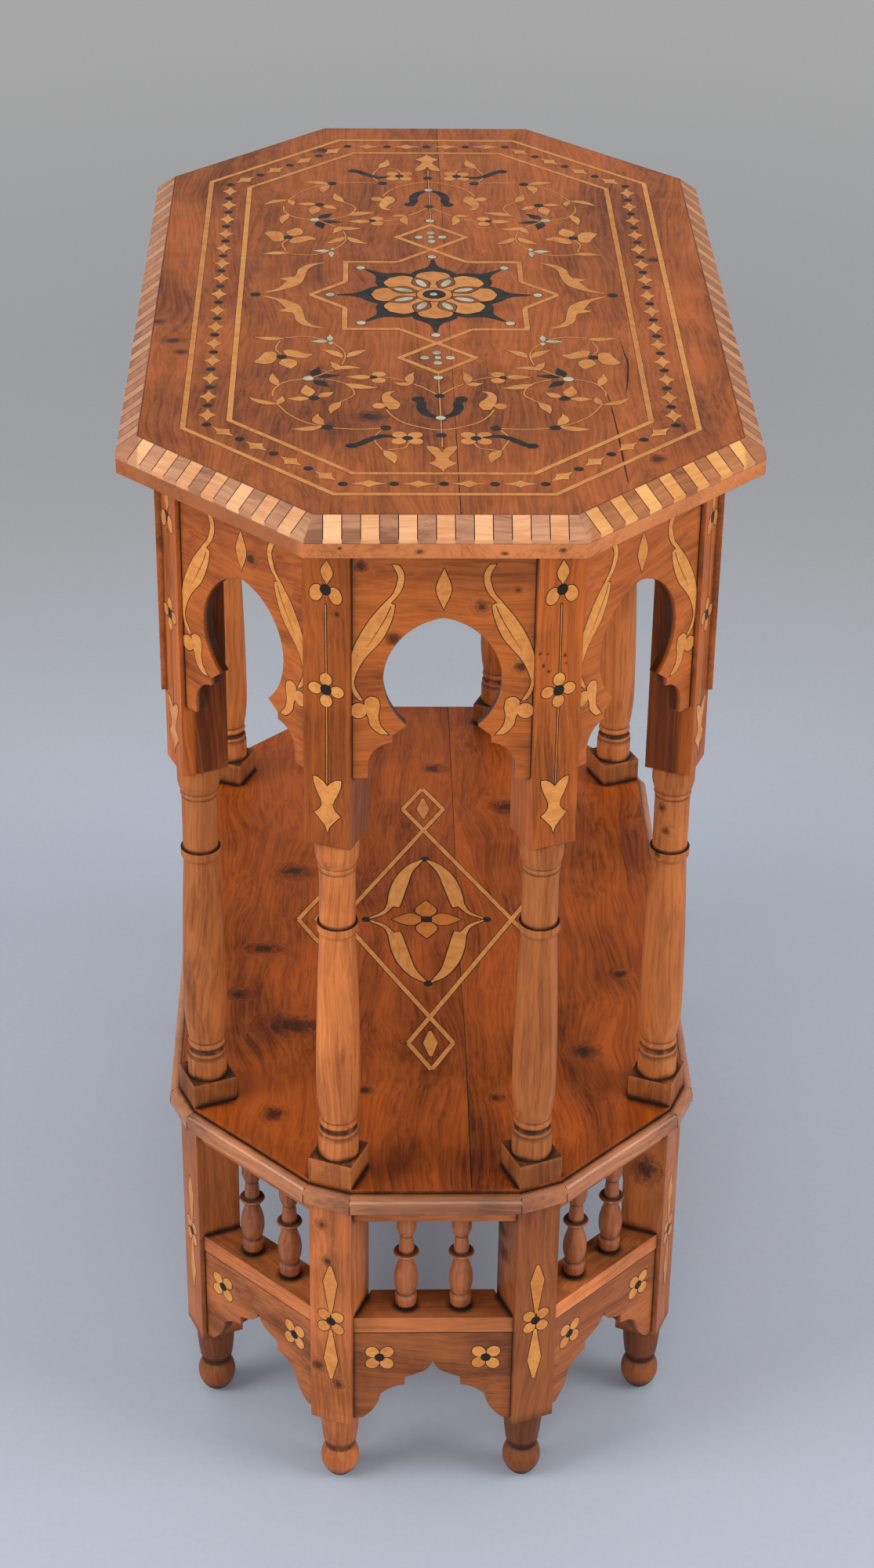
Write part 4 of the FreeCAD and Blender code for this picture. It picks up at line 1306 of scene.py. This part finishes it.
def inlay_look(name, shades, streaks, rough):
    """Thin plates of wood or bone: streaks, and a tone and direction of its own for each plate."""
    look = Look(name)
    where = look.node("TexCoord").outputs["Object"]
    chance = look.node("NewGeometry").outputs["Random Per Island"]
    spin = {"Vector": where, "Angle": look.times(chance, 40.0)}
    spun = look.node("VectorRotate", spin, rotation_type="Z_AXIS").outputs["Vector"]
    streak = look.noise(look.stretched(spun, 0.12), streaks, 4.0, 0.6)
    cloud = look.noise(where, 120.0, 3.0)
    tone = look.times(look.math("FRACT", look.times(chance, 9.7)), 0.4)
    tone = look.plus(tone, look.range(streak, 0.36, 0.72, 0.0, 0.5))
    tone = look.math("ADD", tone, look.range(cloud, 0.4, 0.7, 0.0, 0.35), clamp=True)
    colour = look.mix(tone, *(linear(shade) for shade in shades))
    worn = look.range(look.noise(where, 420.0, 4.0, 0.7), 0.62, 0.74, 0.0, 0.5)
    colour = look.mix(worn, colour, linear(MASTIC[0]))
    return look.surface(colour, look.gloss(cloud, rough), 0.25, Normal=look.bump(streak, 0.12, 0.3))


def floor_look():
    """Seamless studio paper, cool round the table, then neutral, and paler with distance as painted light
    that makes up for the lamps' falloff.
    """
    look = Look("studio_floor")
    where = look.node("TexCoord").outputs["Object"]
    away = look.number("LENGTH", where)
    colour = linear(FLOOR_NEAR)
    for start, end, shade in FLOOR_FADES_AND_PAINTED_LIGHT:
        colour = look.mix(look.range(away, start, end), colour, linear(shade))
    mottle = look.range(look.noise(where, 220.0, 3.0), 0.3, 0.8, 0.0, 0.04)
    return look.surface(look.mix(mottle, colour, linear(GRIME_AND_SHADE)), 0.85, 0.2)


# Knots that the photograph shows: places, radii and, on the boards, how far each is drawn out sideways.
# A place on a board is across and along, on the front edge of the top across and up, and else x, y and z.
TOP_KNOTS = ((-40, -182, 3.4, 1.4), (-156, -73, 2.4, 1.5), (-167, -44, 2.0, 1.2), (-150, -90, 2.2, 1.0),
             (118, -238, 2.6, 1.0), (-70, 262, 2.4, 1.6), (140, 60, 2.2, 1.2))
FASCIA_KNOTS = ((-14, 684, 0.8, 1.6), (-56, 686, 0.6, 1.2), (31, 683, 0.6, 2.0), (62, 685, 0.7, 1.5))
SHELF_KNOTS = ((-88, -126, 5, 1.8), (-111, -36, 3, 1.8), (-126, -90, 2.6, 1.2), (98, -156, 3.4, 1.2),
               (-100, -222, 3.6, 1.0), (-43, -197, 2.2, 1.2), (128, -67, 2.4, 1.2), (40, -206, 2.2, 1.0),
               (-66, -60, 2.4, 1.4), (-92, 62, 3.6, 1.6), (60, 150, 4, 1.5), (8, 205, 3, 1.4))
PANEL_KNOTS = ((-45, -296, 663, 1.8), (-27, -296, 619, 2), (21, -296, 639, 2), (43, -296, 602, 1.8),
               (40, -296, 649, 1), (-106, -255, 647, 2), (-93, -268, 649, 1.4))
COLUMN_KNOTS = ((53, -298, 611, 0.6), (55, -297, 603, 0.7), (58, -296, 599, 0.6), (57, -296, 610, 0.5),
                (67, -292, 607, 0.7), (68, -292, 602, 0.5), (-58, -296, 634, 0.9), (134, -206, 457, 1.6),
                (137, -208, 442, 1.5), (133, -206, 425, 1.3))
POST_KNOTS = ((-69, -291, 211, 1.8), (-66, -293, 183, 1.6), (-59, -295, 86, 2), (-72, -290, 97, 1.8),
              (138, -209, 190, 5), (45, -280, 180, 3.4), (44, -278, 196, 3.4), (45, -280, 212, 3.4))

# Grooves of the turned pieces: height, half width, how dark their dirt and painted shade are. The first of a
# column is its grimy plinth.
COLUMN_GROOVES = ((250, 10, 0.42), (274.2, 1.0, 0.5), (280, 2.2, 0.95), (286.2, 0.9, 0.5),
                  (BLOCK_BOTTOM - 57.9, 0.7, 0.62), (BLOCK_BOTTOM - 22.4, 0.7, 0.6),
                  (BLOCK_BOTTOM - 18.6, 0.6, 0.45))
FOOT_GROOVES = ((FOOT_BALL_TOP, 2.4, 0.8), (30, 0.8, 0.5))
BALUSTER_GROOVES = ((135, 6, 0.5), (140.8, 1.4, 0.7), (152, 1.0, 0.6), (181.2, 0.9, 0.6), (184.6, 1.0, 0.6),
                    (196.8, 1.2, 0.6))


def board_knots(height, knots):
    return [(x, y, height, radius, length) for x, y, radius, length in knots]


def round_knots(knots):
    return [(*knot, 1) for knot in knots]


def wood_looks():
    """The woods, by the first words of the names of the solids that they are for."""
    fascia = [(x, -HALF_LENGTH, z, radius, length) for x, z, radius, length in FASCIA_KNOTS]
    return {
        "top_board": wood("top_wood", TOP_WOOD, ALONG_Y, 0.26, board_knots(TOP_HEIGHT, TOP_KNOTS) + fascia,
                          coat=fascia_coat, stains=0.35, shine=0.15),
        "shelf_board": wood("shelf_wood", SHELF_WOOD, ALONG_Y, 0.24, board_knots(SHELF_HEIGHT, SHELF_KNOTS),
                            stains=0.55, shine=0.15),
        "column": wood("column_wood", BLOCK_WOOD, ALONG_Z, 0.3, round_knots(COLUMN_KNOTS), 8.0, wave=28.0,
                       coat=column_coat, grooves=COLUMN_GROOVES, dusty=0.8, shine=0.15),
        "post": wood("post_wood", POST_WOOD, ALONG_Z, 0.28, round_knots(POST_KNOTS), 9.0, wave=36.0,
                     coat=foot_coat, grooves=FOOT_GROOVES),
        "balusters": wood("baluster_wood", BALUSTER_WOOD, ALONG_Z, 0.3, wave=28.0, grooves=BALUSTER_GROOVES,
                          rough=0.32, shine=0.4),
        "shelf_moulding": wood("moulding_wood", MOULDING_WOOD, ROUND, 0.3, coat=moulding_shade_coat, rough=0.22,
                               shine=0.55),
        "edge_stripes_light": wood("light_stripe", LIGHT_STRIPE, ROUND, 0.2, stripes=0.8, stains=0.15,
                                   dirt_and_shade_share=0.5, coat=lambda look: stripe_coat(look, RIGHT_LIGHT_STRIPE)),
        "edge_stripes_dark": wood("dark_stripe", DARK_STRIPE, ROUND, 0.4, stripes=0.4, stains=0.3,
                                  dirt_and_shade_share=0.5, coat=lambda look: stripe_coat(look, RIGHT_DARK_STRIPE)),
        "arch_panel": wood("panel_wood", PANEL_WOOD, ROUND, 0.3, round_knots(PANEL_KNOTS), 10.0,
                           behind=(PANEL_FACE - 0.5, 0.9)),
        "rail": wood("rail_wood", RAIL_WOOD, ROUND, 0.32, dusty=0.35),
        "cap_rails": wood("cap_rail_wood", APRON_WOOD, ROUND, 0.32),
        "apron": wood("apron_wood", APRON_WOOD, ROUND, 0.42, knot_scale=10.0,
                      behind=(APRON_FACE - 0.5, 0.7)),
    }


def dress_solids():
    """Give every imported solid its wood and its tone."""
    looks = wood_looks()
    chance = random.Random(SEED)
    for name in sorted(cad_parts):
        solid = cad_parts[name]
        tone = TONES.get(name, 1 + chance.uniform(-TONE_SPREAD, TONE_SPREAD))
        solid.color = (tone, tone, tone, END_TONES.get(name, tone) / tone)
        solid.data.materials.clear()
        solid.data.materials.append(next(look for words, look in looks.items() if name.startswith(words)))


INLAY_KINDS = {  # material, its shades, fineness of its streaks, roughness, slot
    "light": ("inlay_boxwood", BOXWOOD, 420.0, 0.42, "light_stripe"),
    "dark": ("inlay_ebony", EBONY, 420.0, 0.42, "dark_stripe"),
    "bone": ("inlay_bone", BONE, 260.0, 0.36, "light_stripe"),
    "ground": ("inlay_walnut", WALNUT, 420.0, 0.42, "panel_wood"),
    "tan": ("inlay_pearwood", PEARWOOD, 420.0, 0.42, "panel_wood"),
    "mastic": ("inlay_mastic", MASTIC, 420.0, 0.6, "dark_stripe"),
}
LEVEL_INLAY = (  # name of the pieces, height of their face, what is drawn there
    ("inlay_top", TOP_HEIGHT, (top_cracks, top_border, top_field, star_strapwork, rosette)),
    ("inlay_shelf", SHELF_HEIGHT, (shelf_cracks, shelf_inlay)),
)
ROUND_INLAY = (  # name of the pieces, what is drawn on each side of the table
    ("inlay_panels", panel_inlay), ("inlay_blocks", block_inlay), ("inlay_posts", post_inlay),
    ("inlay_aprons", apron_inlay),
)


def lay_inlay():
    """Make the pieces of inlay, of the open joints, and of the painted shadow lines."""
    looks = {kind: inlay_look(*row[:-1]) for kind, row in INLAY_KINDS.items()}
    for name, height, drawings in LEVEL_INLAY:
        inlay = Inlay(name, level_face(height))
        for draw in drawings:
            draw(inlay)
        inlay.finish(looks)
    for name, draw in ROUND_INLAY:
        inlay = Inlay(name)
        for k in range(SIDES):
            draw(inlay, k)
        inlay.finish(looks)
    joints = Inlay("joints")
    for draw in (stripe_joints, moulding_joints, panel_joints, rail_joint_shadows):
        draw(joints)
    joints.finish(looks)


# Studio

FLOOR_SIZE = 80.0  # metres
LAMPS = (  # name, place in metres, size, watts
    ("key", (-2.5, -1.1, 1.7), 1.6, 48.0),
    ("fill", (2.6, -1.0, 1.6), 1.6, 43.0),
    ("front_light", (-0.2, -3.0, 1.1), 1.6, 27.0),
    ("top_light", (0.1, 0.4, 3.2), 2.4, 13.0),
)
LAMP_AIM = (0.0, 0.0, 0.45)
WORLD_COLOUR = (0.97, 0.98, 1.0, 1.0)
WORLD_LIGHT = 0.5


def lay_floor():
    bpy.ops.mesh.primitive_plane_add(size=FLOOR_SIZE)
    floor = bpy.context.object
    floor.name = "studio_floor"
    floor.data.materials.append(floor_look())


def light_studio():
    world = bpy.data.worlds.new("studio")
    world.use_nodes = True
    background = world.node_tree.nodes["Background"]
    background.inputs["Color"].default_value = WORLD_COLOUR
    background.inputs["Strength"].default_value = WORLD_LIGHT
    bpy.context.scene.world = world
    for name, place, size, watts in LAMPS:
        data = bpy.data.lights.new(name, "AREA")
        data.energy = watts
        data.size = size
        lamp = bpy.data.objects.new(name, data)
        lamp.location = place
        lamp.rotation_euler = (Vector(LAMP_AIM) - Vector(place)).to_track_quat("-Z", "Y").to_euler()
        bpy.context.collection.objects.link(lamp)


def photo_camera():
    data = bpy.data.cameras.new("photo_camera")
    data.sensor_width = SENSOR
    data.lens = FOCAL_PIXELS / IMAGE_LONG_SIDE * SENSOR
    data.clip_end = 2 * FLOOR_SIZE
    camera = bpy.data.objects.new("photo_camera", data)
    ahead = Vector((0, math.cos(CAMERA_PITCH), -math.sin(CAMERA_PITCH)))
    yaw = Matrix.Rotation(-CAMERA_YAW, 3, "Z")
    camera.location = yaw @ (Vector(CAMERA_TARGET) - ahead * CAMERA_DISTANCE) * MM
    tilt = Matrix.Rotation(math.pi / 2 - CAMERA_PITCH, 3, "X") @ Matrix.Rotation(CAMERA_ROLL, 3, "Z")
    camera.rotation_euler = (yaw @ tilt).to_euler()
    bpy.context.collection.objects.link(camera)
    bpy.context.scene.camera = camera


dress_solids()
lay_inlay()
lay_floor()
light_studio()
photo_camera()
bpy.context.scene.view_settings.view_transform = "Standard"
